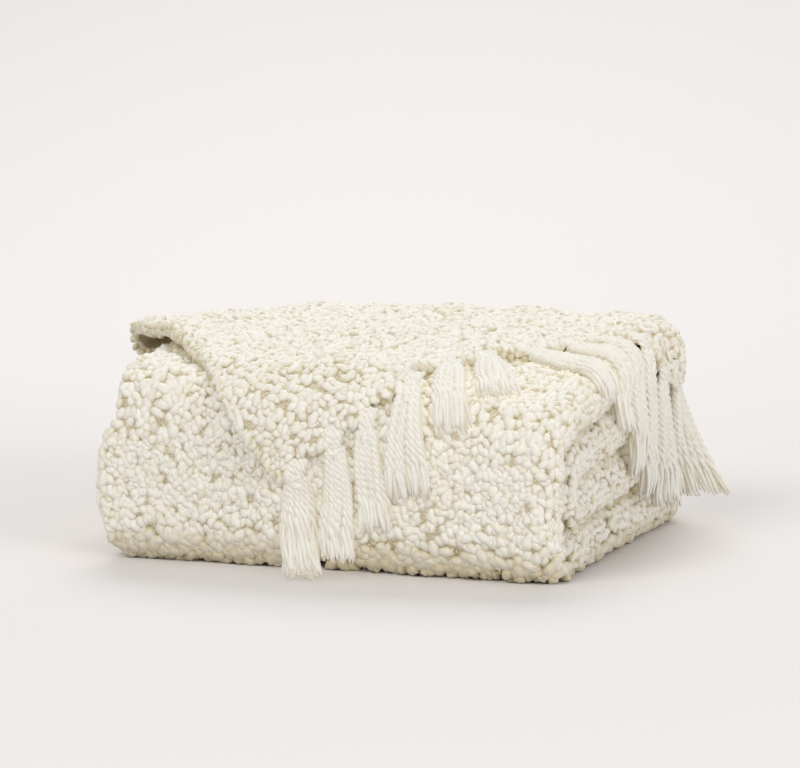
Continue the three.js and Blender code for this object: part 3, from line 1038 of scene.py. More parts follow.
    def flap_seats(self, lump: LumpSizes) -> NubSeats:
        """Seats of a kind of lump on both faces of the opened corner."""
        form, half = self.form, self.form.cloth.ground / 2
        up_rows = np.linspace(0.0, form.flap_end, self.limit_rows)
        lowest, highest = form.flap_limits(up_rows)
        rows = []
        for side in (1, -1):
            span = (lowest.min(), 0.0), (highest.max(), form.flap_end)
            right, up = self.grid(lump, *span, self.flap_spread)
            start, stop = form.flap_limits(up)
            keep = (right > start) & (right < stop) & self.carries(lump, right, up, side + self.flap_shift)
            if side < 0:
                keep &= (right > form.flap_roll(up)[3] + self.roll_bare) | (up < self.mouth)
            rows.append((right[keep], up[keep], np.full(keep.sum(), float(side))))
        right, up, side = (np.concatenate(column) for column in zip(*rows))
        middle, across, over, normal = form.flap_frame(right, up)
        diagonal = unit(across + over)
        outward = normal * side[:, None]
        ones = np.ones(len(right))
        return NubSeats(middle + outward * half, diagonal, outward, ones > 0, ones, ones)

    def brim_seats(self, lump: LumpSizes) -> NubSeats:
        """Seats round the edges of the opened corner, facing out of them."""
        form, half = self.form, self.form.cloth.ground / 2
        count = int(form.flap_end / lump.spacing[1] * self.edge_crowding)
        edge = np.linspace(0.0, form.flap_end, count)
        selvedge, fringe = form.flap_limits(edge)
        turned = (edge > self.mouth) & (selvedge < form.flap_roll(edge)[3])
        hem = np.arange(selvedge[-1], fringe[-1], lump.spacing[0] / self.edge_crowding)
        every = (-1.0, 0.0, 1.0)
        rows = []
        for right, up, (sideways, onward), levels in (
            (selvedge[~turned], edge[~turned], (-1.0, 0.0), every),
            (selvedge[turned], edge[turned], (-1.0, 0.0), every[1:]),
            (fringe, edge, (1.0, 0.0), every),
            (hem, np.full_like(hem, form.flap_end), (0.0, 1.0), every),
        ):
            middle, across, over, normal = form.flap_frame(right, up)
            out = across * sideways + over * onward
            run = unit(np.cross(normal, out))
            for level in levels:
                face = unit(out + normal * level)
                rows.append((middle + normal * level * half, run, face))
        points, along, normal = (np.concatenate(column) for column in zip(*rows))
        ones = np.ones(len(points))
        return NubSeats(points, along, normal, ones > 0, ones, ones)

    def cover(self, pieces: list[bpy.types.Object]) -> BVHTree:
        """Search tree of everything that can hide a nub, with the floor below it.

        Args:
            pieces: Pieces that hide nubs.

        Returns:
            The tree.
        """
        mesh = bmesh.new()
        for piece in pieces:
            mesh.from_mesh(piece.data)
        reach, low = self.floor_reach, self.floor_low
        corners = ((-reach, -reach, low), (reach, -reach, low), (reach, reach, low), (-reach, reach, low))
        mesh.faces.new([mesh.verts.new(corner) for corner in corners])
        mesh.faces.index_update()
        self.floor_face = len(mesh.faces) - 1
        tree = BVHTree.FromBMesh(mesh)
        mesh.free()
        return tree

    def ways_out(self, seats: NubSeats, tree: BVHTree) -> tuple[Array, Array]:
        """Straight ways that lead out of the folds.

        Args:
            seats: All seats.
            tree: Everything that hides them.

        Returns:
            Mask of the seats that show, and the share of ways that stay free close to each of them.
        """
        side = unit(np.cross(seats.normal, seats.along))
        turns = np.arange(self.sight_rays) * math.pi * GOLDEN_SHARE
        slopes = np.linspace(0.0, self.sight_cone, self.sight_rays)
        starts = (seats.points + seats.normal * self.sight_start).tolist()
        fans = []
        for turn, slope in zip(turns, slopes):
            flat = seats.along * math.cos(turn) + side * math.sin(turn)
            fans.append((seats.normal * math.cos(slope) + flat * math.sin(slope)).tolist())
        seen = np.zeros(len(seats.points), bool)
        for rays in fans:
            for index in np.nonzero(~seen)[0]:
                seen[index] = tree.ray_cast(starts[index], rays[index], self.sight)[0] is None
        free = np.zeros(len(seats.points))
        for rays in fans:
            for index in np.nonzero(seen)[0]:
                hit, _, face, _ = tree.ray_cast(starts[index], rays[index], self.near)
                if hit is None:
                    free[index] += 1.0
                # Hits on tassels and on the floor count partly as free, which sets how much painted recess
                # shade lies by them.
                elif face >= self.cloth_faces:
                    free[index] += self.floor_share if face == self.floor_face else self.soft_share
        return seen, free / self.sight_rays

    def shade_ground(self, cloth: bpy.types.Object, tree: BVHTree) -> None:
        """Note on the ground cloth how open each of its points lies.

        Args:
            cloth: The ground cloth.
            tree: Everything that hides it.
        """
        mesh = cloth.data
        points = np.array([vertex.co for vertex in mesh.vertices])
        normal = np.array([vertex.normal for vertex in mesh.vertices])
        along = unit(np.cross(normal, self.odd_way))
        ones = np.ones(len(points))
        seats = NubSeats(points, along, normal, ones > 0, ones, ones)
        seen, free = self.ways_out(seats, tree)
        # The openness sets the painted recess light of the ground's finish.
        openness = mesh.attributes.new("openness", "FLOAT", "POINT")
        openness.data.foreach_set("value", np.where(seen, free, 0.0))

    def lumps(self, lump: LumpSizes) -> tuple[Array, Array]:
        """A few uneven forms of one kind of lump from a round primitive.

        Args:
            lump: Kind of lump.

        Returns:
            Points of each form, and the faces that they share.
        """
        bpy.ops.object.select_all(action="DESELECT")
        bpy.ops.mesh.primitive_uv_sphere_add(segments=lump.sides, ring_count=lump.rings, radius=1.0)
        ball = bpy.context.object
        bpy.ops.object.mode_set(mode="EDIT")
        bpy.ops.mesh.quads_convert_to_tris()
        bpy.ops.object.mode_set(mode="OBJECT")
        points = np.array([vertex.co for vertex in ball.data.vertices])[:, [2, 0, 1]]
        faces = np.array([list(face.vertices) for face in ball.data.polygons])
        mesh = ball.data
        bpy.data.objects.remove(ball)
        bpy.data.meshes.remove(mesh)
        forms = []
        for _ in range(lump.kinds):
            ways = unit(self.rng.normal(size=(lump.waves, 3)))
            waves = ways * self.rng.uniform(*lump.wave_span, (lump.waves, 1))
            swell = np.sin(points @ waves.T + self.rng.uniform(0, 2 * np.pi, lump.waves)).mean(-1)
            forms.append(points * (1.0 + lump.depth * swell)[:, None])
        return np.array(forms), faces

    def nubs(self, lump: LumpSizes, seats: NubSeats) -> MeshArrays:
        """Joined mesh of one kind of lump on some seats.

        Args:
            lump: Kind of lump.
            seats: Where the lumps sit.

        Returns:
            Arrays with the tone and height of every point.
        """
        count = len(seats.points)
        forms, faces = self.lumps(lump)
        ranges = (lump.half_length, lump.half_width, lump.half_height)
        sizes = np.stack([self.rng.uniform(*span, count) for span in ranges], -1)
        closed = np.where(seats.on_flap, 0.0, 1.0 - seats.open_share)[:, None]
        sizes *= self.rng.uniform(*lump.growth, (count, 1)) * (1.0 + self.groove_growth * closed)
        sizes *= seats.stretch[:, None]
        turn = self.rng.normal(0.0, lump.swing, count)[:, None]
        side = unit(np.cross(seats.normal, seats.along))
        long_axis = seats.along * np.cos(turn) + side * np.sin(turn)
        tilt = self.rng.normal(0.0, lump.tilt, count)[:, None]
        long_axis = unit(long_axis + seats.normal * tilt)
        wide_axis = unit(np.cross(seats.normal, long_axis))
        high_axis = np.cross(long_axis, wide_axis)
        shape = forms[self.rng.integers(0, len(forms), count)]
        local = shape * sizes[:, None, :]
        rise = self.rng.uniform(*lump.rise, (count, 1))
        centre = seats.points + seats.normal * (sizes[:, 2:] * rise + self.groove_fill * closed)
        axes = np.stack([long_axis, wide_axis, high_axis], 1)
        points = centre[:, None] + local @ axes
        points[..., 2] = np.maximum(points[..., 2], 0.0)
        vertex_count = shape.shape[1]
        all_faces = (faces[None] + (np.arange(count) * vertex_count)[:, None, None]).reshape(-1, 3)
        tone = np.repeat(self.rng.uniform(*lump.tone, count), vertex_count)
        # Painted shade: nub_height sets how much painted side shade each point gets; crumbs, low in the
        # bare patches, get more of it.
        height = np.clip(shape[..., 2] * 0.5 + 0.5 - lump.extra_painted_shade, 0.0, 1.0).ravel()
        # Openness of each nub, which sets its painted recess shade.
        openness = np.repeat(seats.open_share, vertex_count)
        values = {"tone": tone, "nub_height": height, "openness": openness}
        return MeshArrays(points.reshape(-1, 3), all_faces, None, values)

    def regions(self, seats: NubSeats) -> dict[Region, Array]:
        """Seats sorted into the throw's regions.

        Args:
            seats: Seats that show.

        Returns:
            Mask for each region.
        """
        x, y, z = seats.points.T
        top = seats.on_flap & (seats.normal[:, 2] > self.top_facing) & (z > self.form.cloth.height)
        drop = seats.on_flap & ~top
        base = ~seats.on_flap & (z < self.base_height)
        rest = ~seats.on_flap & ~base
        right = rest & (x > self.form.right - self.form.cloth.strip)
        left = rest & ~right & (x < self.form.left + self.form.cloth.strip)
        front = rest & ~right & ~left & (y < self.form.back / 2)
        return {
            Region.CORNER_TOP: top,
            Region.CORNER_DROP: drop,
            Region.RIGHT: right,
            Region.LEFT: left,
            Region.BASE: base,
            Region.FRONT: front,
            Region.BACK: rest & ~right & ~left & ~front,
        }

    def build(
        self, cloth: bpy.types.Object, tassels: list[bpy.types.Object], material: bpy.types.Material
    ) -> list[bpy.types.Object]:
        """Make one mesh of nubs and crumbs for each region.

        Args:
            cloth: The ground cloth that carries them.
            tassels: Pieces that can hide some of them too.
            material: Finish of the nubs.

        Returns:
            The pieces.
        """
        self.cloth_faces = len(cloth.data.polygons)
        tree = self.cover([cloth, *tassels])
        self.shade_ground(cloth, tree)
        parts: dict[Region, list[MeshArrays]] = {region: [] for region in Region}
        for lump in (NUB, CRUMB):
            seats = self.stack_seats(lump).with_more(self.flap_seats(lump))
            if lump is NUB:
                seats = seats.with_more(self.brim_seats(lump)).with_more(self.raw_edge_seats(lump))
            seen, share = self.ways_out(seats, tree)
            # On the opened corner the openness, and with it the painted recess shade, is kept at flap_open
            # or more.
            seats.open_share = np.where(seats.on_flap, np.maximum(share, self.flap_open), share)
            seats = seats.chosen(seen)
            for region, mask in self.regions(seats).items():
                parts[region].append(self.nubs(lump, seats.chosen(mask)))
        pieces = []
        for region, arrays in parts.items():
            piece = mesh_object(region.value, joined(arrays), material)
            LOG.info("%s: %d triangles", piece.name, len(piece.data.polygons))
            dress(piece, "throw")
            # Loose wool lets light through, so only the nubs by the floor cast a direct shadow.
            piece.visible_shadow = region is Region.BASE
            pieces.append(piece)
        return pieces


@dataclass(frozen=True)
class TasselSizes:
    """Sizes of a tassel's knot and strands."""

    head_along: float = 0.009
    head_across: float = 0.009
    head_seat: float = 0.0004
    head_start: float = 0.45
    floor_gap: float = 0.0006
    lift_step: float = 0.001
    phase_span: float = 6.28
    rows: tuple[tuple[int, float], ...] = ((5, -0.0026), (6, 0.0004), (5, 0.0030))
    neck_width: float = 0.016
    hem_width: float = 0.043
    slot_jitter: float = 0.32
    tone_swing: float = 0.25
    lowest_row_painted_shade: float = 0.25
    fan_curve: float = 0.62
    lean_curve: float = 1.3
    level_squash: tuple[float, float] = (0.6, 0.95)
    ragged: float = 0.005
    ragged_span: tuple[float, float] = (-1.0, 0.4)
    ply_radius: float = 0.00180
    ply_off: float = 0.00145
    ply_sides: int = 6
    ply_rings: int = 36
    twist_pitch: float = 0.0110
    twist_span: float = 0.45
    untwist: float = 0.93
    brushed_off: float = 1.25
    tip: float = 0.40
    tip_taper: float = 6.0
    wander: tuple[float, float] = (0.0020, 0.0011)
    wander_waves: tuple[float, float] = (5.0, 6.0)
    fibres: int = 4
    fibre_radius: float = 0.00095
    fibre_tip: float = 0.45
    fibre_spread: tuple[float, float] = (0.0024, 0.0020)
    fibre_jitter: float = 0.4
    fibre_curl: float = 1.5
    fibre_root: float = 0.35
    fibre_open: tuple[float, float] = (0.6, 1.15)
    fibre_opens: float = 0.7
    fibre_start: float = 0.55
    fibre_stop: tuple[float, float] = (0.95, 1.015)
    fibre_rings: int = 9
    fibre_sides: int = 4
    wrap_turns: float = 2.3
    wrap_rings: int = 46
    wrap_half: tuple[float, float] = (0.0052, 0.0036)
    wrap_swell: float = 0.30
    wrap_span: tuple[float, float] = (-0.60, 0.70)
    wrap_sway: float = 0.0020
    wrap_wave: float = 1.7
    wrap_ply: float = 1.05
    roots: int = 5
    root_spread: float = 0.012
    root_reach: float = 0.0095
    root_rings: int = 14
    root_jitter: float = 0.12
    root_start: float = 0.0035
    root_from: float = 0.2
    root_arch: tuple[float, float] = (0.0030, 0.0012)
    root_ply: float = 0.9


def round_axes(centres: Array, normals: Array) -> tuple[Array, Array]:
    """Two directions square to lines of points.

    Args:
        centres: Lines of points, by line and ring.
        normals: A direction across each line at its points.

    Returns:
        Directions to the side, and directions near the given ones.
    """
    tangent = unit(np.gradient(centres, axis=1))
    side = unit(np.cross(tangent, normals))
    return side, np.cross(side, tangent)


def tubes(
    centres: Array, normals: Array, radii: Array, sides: int, tone: Array | float = 1.0
) -> MeshArrays:
    """Closed tubes along lines of points.

    Args:
        centres: Lines of points, by line and ring.
        normals: A direction across each line at its points.
        radii: Radius at each point.
        sides: Even number of sides.
        tone: Tone of each line, from warm at 0 to pale at 1.

    Returns:
        Arrays of quads, with the share round and the distance along as their map.
    """
    side, out = round_axes(centres, normals)
    angle = 2 * np.pi * np.arange(sides) / sides
    ring = np.cos(angle)[:, None] * side[:, :, None] + np.sin(angle)[:, None] * out[:, :, None]
    points = centres[:, :, None] + radii[:, :, None, None] * ring
    ids = np.arange(points[..., 0].size).reshape(points.shape[:3])
    after = np.roll(ids, -1, axis=2)
    quads = [np.stack([ids[:, :-1], ids[:, 1:], after[:, 1:], after[:, :-1]], -1).reshape(-1, 4)]
    for first in range(0, sides - 2, 2):
        corners = [0, first + 1, first + 2, first + 3]
        quads.append(ids[:, 0][:, corners])
        quads.append(ids[:, -1][:, corners[::-1]])
    steps = np.linalg.norm(np.diff(centres, axis=1), axis=-1)
    along = np.concatenate([np.zeros((len(centres), 1)), np.cumsum(steps, axis=1)], axis=1)
    uv = np.stack(np.broadcast_arrays(np.arange(sides) / sides, along[:, :, None]), -1)
    tones = np.broadcast_to(np.reshape(tone, (-1, 1, 1)), points.shape[:3]).ravel()
    return MeshArrays(points.reshape(-1, 3), np.concatenate(quads), uv.reshape(-1, 2), {"tone": tones})


@dataclass
class Fringe:
    """The knotted tassels along the fringe edge of the opened corner."""

    form: FoldedForm
    sizes: TasselSizes = TasselSizes()
    seed: int = 23

    def knot_place(self, index: int) -> tuple[float, float, float]:
        """Where a knot sits, just off both runs of the fringe edge that meet at its root.

        Args:
            index: Number of the tassel, from 0.

        Returns:
            Its place across, its place along the path over the pile, and its heading.
        """
        tassel, s = TASSEL_PLACES[index], self.sizes
        lie = math.radians(tassel.heading)
        both = slice(index, index + 2)
        edges = np.arctan2(np.diff(self.form.edge_up)[both], np.diff(self.form.edge_right)[both])
        out = float(edges.mean())
        half = np.hypot(s.head_along * np.cos(lie - edges), s.head_across * np.sin(lie - edges))
        seat = float(((half + s.head_seat) / np.cos(out - edges)).max()) - tassel.drawn
        return tassel.right + seat * math.sin(out), self.form.corner + tassel.up - seat * math.cos(out), lie

    def place(self, index: int, down: Array, across: Array, off: Array) -> Array:
        """Points of a tassel.

        Args:
            index: Number of the tassel, from 0.
            down: Distances down from the knot's middle.
            across: Distances across the tassel.
            off: Heights above the stack.

        Returns:
            Points of the pile.
        """
        right, along, lie = self.knot_place(index)
        along = along - down * math.cos(lie) + across * math.sin(lie)
        forward = np.maximum(0.0, self.form.front - self.form.over.at(along)[0])
        right = right + down * math.sin(lie) + across * math.cos(lie) + self.form.flap.floor_swing * forward
        return self.form.drape(right, along, off)

    def lines(self, index: int, down: Array, across: Array, off: Array) -> tuple[Array, Array]:
        """Lines of a tassel and the direction away from the cloth at their points.

        Args:
            index: Number of the tassel, from 0.
            down: Distances down from the knot's middle, by line and ring.
            across: Distances across the tassel.
            off: Heights above the stack.

        Returns:
            Points and directions.
        """
        points = self.place(index, down, across, off)
        return points, unit(self.place(index, down, across, off + self.sizes.lift_step) - points)

    def twisted(
        self, line: tuple[Array, Array], turn: Array, spread: Array, radii: Array, tone: Array | float = 1.0
    ) -> MeshArrays:
        """Two plies wound round each line.

        Args:
            line: Lines of points, by line and ring, and a direction across each of them.
            turn: Angle of the first ply at each point.
            spread: Distance of the plies from the line.
            radii: Radius of the plies.
            tone: Tone of each line.

        Returns:
            Arrays of both plies.
        """
        centres, normals = line
        spread, radii = (np.broadcast_to(value, centres.shape[:2]) for value in (spread, radii))
        side, out = round_axes(centres, normals)
        plies = []
        for start in (0.0, np.pi):
            swing = np.cos(turn + start)[..., None] * side + np.sin(turn + start)[..., None] * out
            ply = centres + spread[..., None] * swing
            plies.append(tubes(ply, normals, radii, self.sizes.ply_sides, tone))
        return joined(plies)

    def strands(self, index: int, rng: np.random.Generator) -> list[MeshArrays]:
        """Strands of a tassel: twisted near the knot, brushed out straight below.

        Args:
            index: Number of the tassel, from 0.
            rng: Source of the unevenness.

        Returns:
            Arrays of plies and of the brushed fibres on them.
        """
        tassel, s = TASSEL_PLACES[index], self.sizes
        wide = max(count for count, _ in s.rows)
        slots = [(slot, count, level) for count, level in s.rows for slot in range(count)]
        slot, count, level = (np.array(column)[:, None] for column in zip(*slots))
        share = np.linspace(0.0, 1.0, s.ply_rings)[None]
        reach = tassel.length - s.head_along + s.ragged * rng.uniform(*s.ragged_span, slot.shape)
        sway = rng.uniform(-1, 1, slot.shape)
        phase = rng.uniform(0, 2 * np.pi, (2, *slot.shape))
        column = slot - (count - 1) / 2 + rng.uniform(-s.slot_jitter, s.slot_jitter, slot.shape)
        levels = [level for _, level in s.rows]
        # Painted shade: the lower rows of strands, under the others, get a warmer, darker tone; tone_swing
        # adds tone that differs at random.
        tone = mix(s.lowest_row_painted_shade, 1.0, (level - min(levels)) / (max(levels) - min(levels)))
        tone = tone + rng.uniform(-s.tone_swing, s.tone_swing, slot.shape)

        def line(part: Array, drift: tuple[Array | float, Array | float]) -> tuple[Array, Array]:
            """Points and outward directions of all strands at a share of their length."""
            spread = mix(s.neck_width, s.hem_width * tassel.fan, part ** s.fan_curve) / wide
            wave = s.wander[0] * part * (np.sin(s.wander_waves[0] * part + phase[0]) + sway)
            across = column * spread + wave + drift[0]
            off = self.form.cloth.flap_level + level * mix(*s.level_squash, part) + drift[1]
            off = off + s.wander[1] * part * np.sin(s.wander_waves[1] * part + phase[1])
            off = off + tassel.lean * (slot + 1) / count * part ** s.lean_curve
            return self.lines(index, mix(-s.head_along * s.head_start, reach, part), across, off)

        loose = ease(tassel.twisted, tassel.twisted + s.twist_span, share)
        steps = (1.0 - s.untwist * loose) * np.gradient(tassel.length * share, axis=1)
        turn = 2 * np.pi * np.cumsum(steps, axis=1) / s.twist_pitch + phase[0]
        radii = s.ply_radius * np.minimum(1.0, s.tip_taper * (1.0 - share) + s.tip)
        spread = s.ply_off * mix(1.0, s.brushed_off, loose)
        parts = [self.twisted(line(share, (0.0, 0.0)), turn, spread, radii, tone)]
        part = np.linspace(0.0, 1.0, s.fibre_rings)[None]
        for number in range(s.fibres):
            angle = 2 * np.pi * number / s.fibres + rng.uniform(-s.fibre_jitter, s.fibre_jitter, slot.shape)
            angle = angle + s.fibre_curl * part * sway
            widest = rng.uniform(*s.fibre_open, slot.shape)
            open_share = mix(s.fibre_root, widest, ease(0.0, s.fibre_opens, part))
            wide_drift, high_drift = (span * open_share for span in s.fibre_spread)
            drift = (wide_drift * np.cos(angle), high_drift * np.sin(angle))
            tail = mix(s.fibre_start, rng.uniform(*s.fibre_stop, slot.shape), part)
            centres, normals = line(tail, drift)
            radii = np.broadcast_to(s.fibre_radius * mix(1.0, s.fibre_tip, part), centres.shape[:2])
            parts.append(tubes(centres, normals, radii, s.fibre_sides, tone))
        return parts

    def knot(self, index: int, rng: np.random.Generator) -> list[MeshArrays]:
        """Wrapped knot of a tassel and the yarns that tie it to the edge.

        Args:
            index: Number of the tassel, from 0.
            rng: Source of the unevenness.

        Returns:
            Arrays of the wrap and the root yarns.
        """
        s, level = self.sizes, self.form.cloth.flap_level
        share = np.linspace(0.0, 1.0, s.wrap_rings)[None]
        angle = 2 * np.pi * s.wrap_turns * share + rng.uniform(0, 2 * np.pi)
        swell = 1.0 - s.wrap_swell * (2.0 * share - 1.0) ** 2
        sway = s.wrap_sway * np.sin(s.wrap_wave * angle + rng.uniform(0, s.phase_span))
        down = mix(*s.wrap_span, share) * s.head_along + sway
        across, off = s.wrap_half[0] * swell * np.cos(angle), s.wrap_half[1] * swell * np.sin(angle)
        run = s.wrap_turns * 2 * np.pi * s.wrap_half[0] * share
        wrap = self.lines(index, down, across, level + off)
        turn = 2 * np.pi * run / s.twist_pitch
        parts = [self.twisted(wrap, turn, s.ply_off, s.ply_radius * s.wrap_ply)]
        share = np.linspace(0.0, 1.0, s.root_rings)[None]
        uneven = rng.uniform(-s.root_jitter, s.root_jitter, (s.roots, 1))
        fan = np.linspace(-1.0, 1.0, s.roots)[:, None] + uneven
        across = fan * mix(s.root_start, s.root_spread / 2, ease(0.0, 1.0, share))
        reach = s.head_along + s.head_seat + s.root_reach
        down = np.broadcast_to(-mix(s.root_from * s.head_along, reach, share), across.shape)
        arch, climb = s.root_arch
        off = np.broadcast_to(level + arch * np.sin(np.pi * share) + climb * share, across.shape)
        turn = 2 * np.pi * share * reach / s.twist_pitch + rng.uniform(0, s.phase_span, (s.roots, 1))
        roots = self.lines(index, down, across, off)
        parts.append(self.twisted(roots, turn, s.ply_off, s.ply_radius * s.root_ply))
        return parts

    def build(self, material: bpy.types.Material) -> list[bpy.types.Object]:
        """Make every tassel.

        Args:
            material: Finish of the yarn.

        Returns:
            The pieces, each in the place of its solid.
        """
        pieces = []
        for index in range(len(TASSEL_PLACES)):
            rng = np.random.default_rng(self.seed + index)
            arrays = joined([*self.strands(index, rng), *self.knot(index, rng)])
            arrays.points[:, 2] = np.maximum(arrays.points[:, 2], self.sizes.floor_gap)
            node = f"tassel_{index + 1}"
            piece = mesh_object(f"{node}_yarn", arrays, material)
            LOG.info("%s: %d quads", piece.name, len(piece.data.polygons))
            dress(piece, node)
            # Loose strands let light through, so they cast no direct shadow.
            piece.visible_shadow = False
            pieces.append(piece)
        return pieces


class Nodes:
    """Short way of adding and linking shader nodes in one tree."""

    def __init__(self, tree: bpy.types.NodeTree) -> None:
        """Start from an empty tree."""
        self.tree = tree
        tree.nodes.clear()

    def add(self, kind: str, inputs: dict | None = None, **settings: object) -> bpy.types.Node:
        """Add a node.

        Args:
            kind: Blender's type of the node.
            inputs: Values, or sockets to link, by the name or number of the input.
            settings: Properties of the node.

        Returns:
            The new node.
        """
        node = self.tree.nodes.new(kind)
        for name, value in settings.items():
            setattr(node, name, value)
        for key, value in (inputs or {}).items():
            if isinstance(value, bpy.types.NodeSocket):
                self.tree.links.new(value, node.inputs[key])
            else:
                node.inputs[key].default_value = value
        return node

    def blend(self, share: object, first: object, second: object) -> bpy.types.NodeSocket:
        """Colour between two colours.

        Args:
            share: Share of the second colour.
            first: Colour or socket at share 0.
            second: Colour or socket at share 1.

        Returns:
            The blended colour's socket.
        """
        node = self.add("ShaderNodeMix", {"Factor": share}, data_type="RGBA")
        for key, value in ((6, first), (7, second)):
            if isinstance(value, bpy.types.NodeSocket):
                self.tree.links.new(value, node.inputs[key])
            else:
                node.inputs[key].default_value = (*value, 1.0)
        return node.outputs[2]

    def maths(self, operation: str, *values: object) -> bpy.types.NodeSocket:
        """Result of a sum on values or sockets.

        Args:
            operation: Blender's name of the sum.
            values: Its operands.

        Returns:
            The result's socket.
        """
        return self.add("ShaderNodeMath", dict(enumerate(values)), operation=operation).outputs[0]

    def attribute(self, name: str) -> bpy.types.NodeSocket:
        """Value of a mesh attribute."""
        return self.add("ShaderNodeAttribute", attribute_name=name).outputs["Fac"]

    def step(self, name: str, span: tuple[float, float]) -> bpy.types.NodeSocket:
        """Smooth step from 0 to 1 on a mesh attribute.

        Args:
            name: Name of the attribute.
            span: Values at which the step is 0 and 1.

        Returns:
            The step's socket.
        """
        inputs = {"Value": self.attribute(name), "From Min": span[0], "From Max": span[1]}
        return self.add("ShaderNodeMapRange", inputs, interpolation_type="SMOOTHSTEP").outputs["Result"]

    def flat(self) -> bpy.types.Node:
        """Node that gives the parts of the mesh's map."""
        return self.add("ShaderNodeSeparateXYZ", {0: self.add("ShaderNodeTexCoord").outputs["UV"]})


FIBRE_DETAIL = 3.0
FIBRE_DISTORTION = 1.6
MOTTLE_SCALE = 0.12
MOTTLE_DETAIL = 2.0


def wool_fibre_group() -> bpy.types.NodeTree:
    """Group that gives fine wool fibre: its height for a bump and a soft mottle for the colour."""
    group = bpy.data.node_groups.new("wool_fibre", "ShaderNodeTree")
    group.interface.new_socket("Coordinates", in_out="INPUT", socket_type="NodeSocketVector")
    group.interface.new_socket("Fineness", in_out="INPUT", socket_type="NodeSocketFloat")
    group.interface.new_socket("Height", in_out="OUTPUT", socket_type="NodeSocketFloat")
    group.interface.new_socket("Mottle", in_out="OUTPUT", socket_type="NodeSocketFloat")
    nodes = Nodes(group)
    given = nodes.add("NodeGroupInput")
    scale = given.outputs["Fineness"]
    fine = nodes.add("ShaderNodeTexNoise", {
        "Vector": given.outputs["Coordinates"],
        "Scale": scale,
        "Detail": FIBRE_DETAIL,
        "Distortion": FIBRE_DISTORTION,
    })
    coarse = nodes.add("ShaderNodeTexNoise", {
        "Vector": given.outputs["Coordinates"],
        "Scale": nodes.maths("MULTIPLY", scale, MOTTLE_SCALE),
        "Detail": MOTTLE_DETAIL,
    })
    nodes.add("NodeGroupOutput", {"Height": fine.outputs["Fac"], "Mottle": coarse.outputs["Fac"]})
    return group


@dataclass(frozen=True)
class Wool:
    """What every wool finish shares."""

    roughness: float = 1.0
    sheen: float = 0.14
    sheen_roughness: float = 0.6
    specular: float = 0.04
    bump: float = 0.35
    bump_distance: float = 0.0006
    # Openness over which the painted recess light and shade fade out.
    open_span: tuple[float, float] = (0.0, 0.92)

    def start(self, name: str) -> tuple[bpy.types.Material, Nodes, bpy.types.Node]:
        """New material with a wool shader.

        Args:
            name: Name of the material.

        Returns:
            The material, its nodes, and its shader.
        """
        material = bpy.data.materials.new(name)
        material.use_nodes = True
        nodes = Nodes(material.node_tree)
        shader = nodes.add("ShaderNodeBsdfPrincipled", {
            "Roughness": self.roughness,
            "Sheen Weight": self.sheen,
            "Sheen Roughness": self.sheen_roughness,
            "Specular IOR Level": self.specular,
        })
        nodes.add("ShaderNodeOutputMaterial", {"Surface": shader.outputs["BSDF"]})
        return material, nodes, shader

    def fibre(self, nodes: Nodes, group: bpy.types.NodeTree, fineness: float) -> bpy.types.Node:
        """Wool fibre on the object's own coordinates.

        Args:
            nodes: Nodes of the material.
            group: The shared fibre group.
            fineness: Fibres in a metre.

        Returns:
            The placed group.
        """
        place = nodes.add("ShaderNodeTexCoord").outputs["Object"]
        return nodes.add("ShaderNodeGroup", {"Coordinates": place, "Fineness": fineness}, node_tree=group)

    def wear(
        self,
        nodes: Nodes,
        shader: bpy.types.Node,
        colour: bpy.types.NodeSocket,
        height: bpy.types.NodeSocket,
    ) -> None:
        """Give the shader its colour and its relief.

        Args:
            nodes: Nodes of the material.
            shader: The wool shader.
            colour: Its colour.
            height: Height of the relief.
        """
        inputs = {"Height": height, "Strength": self.bump, "Distance": self.bump_distance}
        bump = nodes.add("ShaderNodeBump", inputs)
        nodes.tree.links.new(colour, shader.inputs["Base Color"])
        nodes.tree.links.new(bump.outputs["Normal"], shader.inputs["Normal"])


@dataclass(frozen=True)
class NubFinish(Wool):
    """Cream nubs with painted shade: paler on their crowns, darker and warmer down their sides and where
    they lie closed in.
    """

    crown: Colour = (0.810, 0.774, 0.685)
    pale: Colour = (0.850, 0.828, 0.760)
    # Colour of the painted shade on the nubs' lower sides.
    painted_side_shade: Colour = (0.610, 0.545, 0.375)
    # Painted recess shade: nubs where few straight ways lead out turn towards this darker, warmer colour.
    painted_recess_shading: Colour = (0.540, 0.455, 0.270)
    fineness: float = 1500.0
    painted_side_shade_span: tuple[float, float] = (0.32, 0.95)

    def material(self, group: bpy.types.NodeTree) -> bpy.types.Material:
        """Make the material.

        Args:
            group: The shared fibre group.

        Returns:
            The material.
        """
        material, nodes, shader = self.start("boucle_nubs")
        fibre = self.fibre(nodes, group, self.fineness)
        mottle = nodes.maths("SUBTRACT", fibre.outputs["Mottle"], NOISE_MIDDLE)
        crown = nodes.blend(nodes.maths("ADD", nodes.attribute("tone"), mottle), self.crown, self.pale)
        # Painted shade: each nub turns darker and warmer down its lower sides, where shade falls between
        # the nubs.
        colour = nodes.blend(nodes.step("nub_height", self.painted_side_shade_span), self.painted_side_shade, crown)
        # Painted shade in the recesses, by how open each nub lies.
        colour = nodes.blend(nodes.step("openness", self.open_span), self.painted_recess_shading, colour)
        self.wear(nodes, shader, colour, fibre.outputs["Height"])
        return material


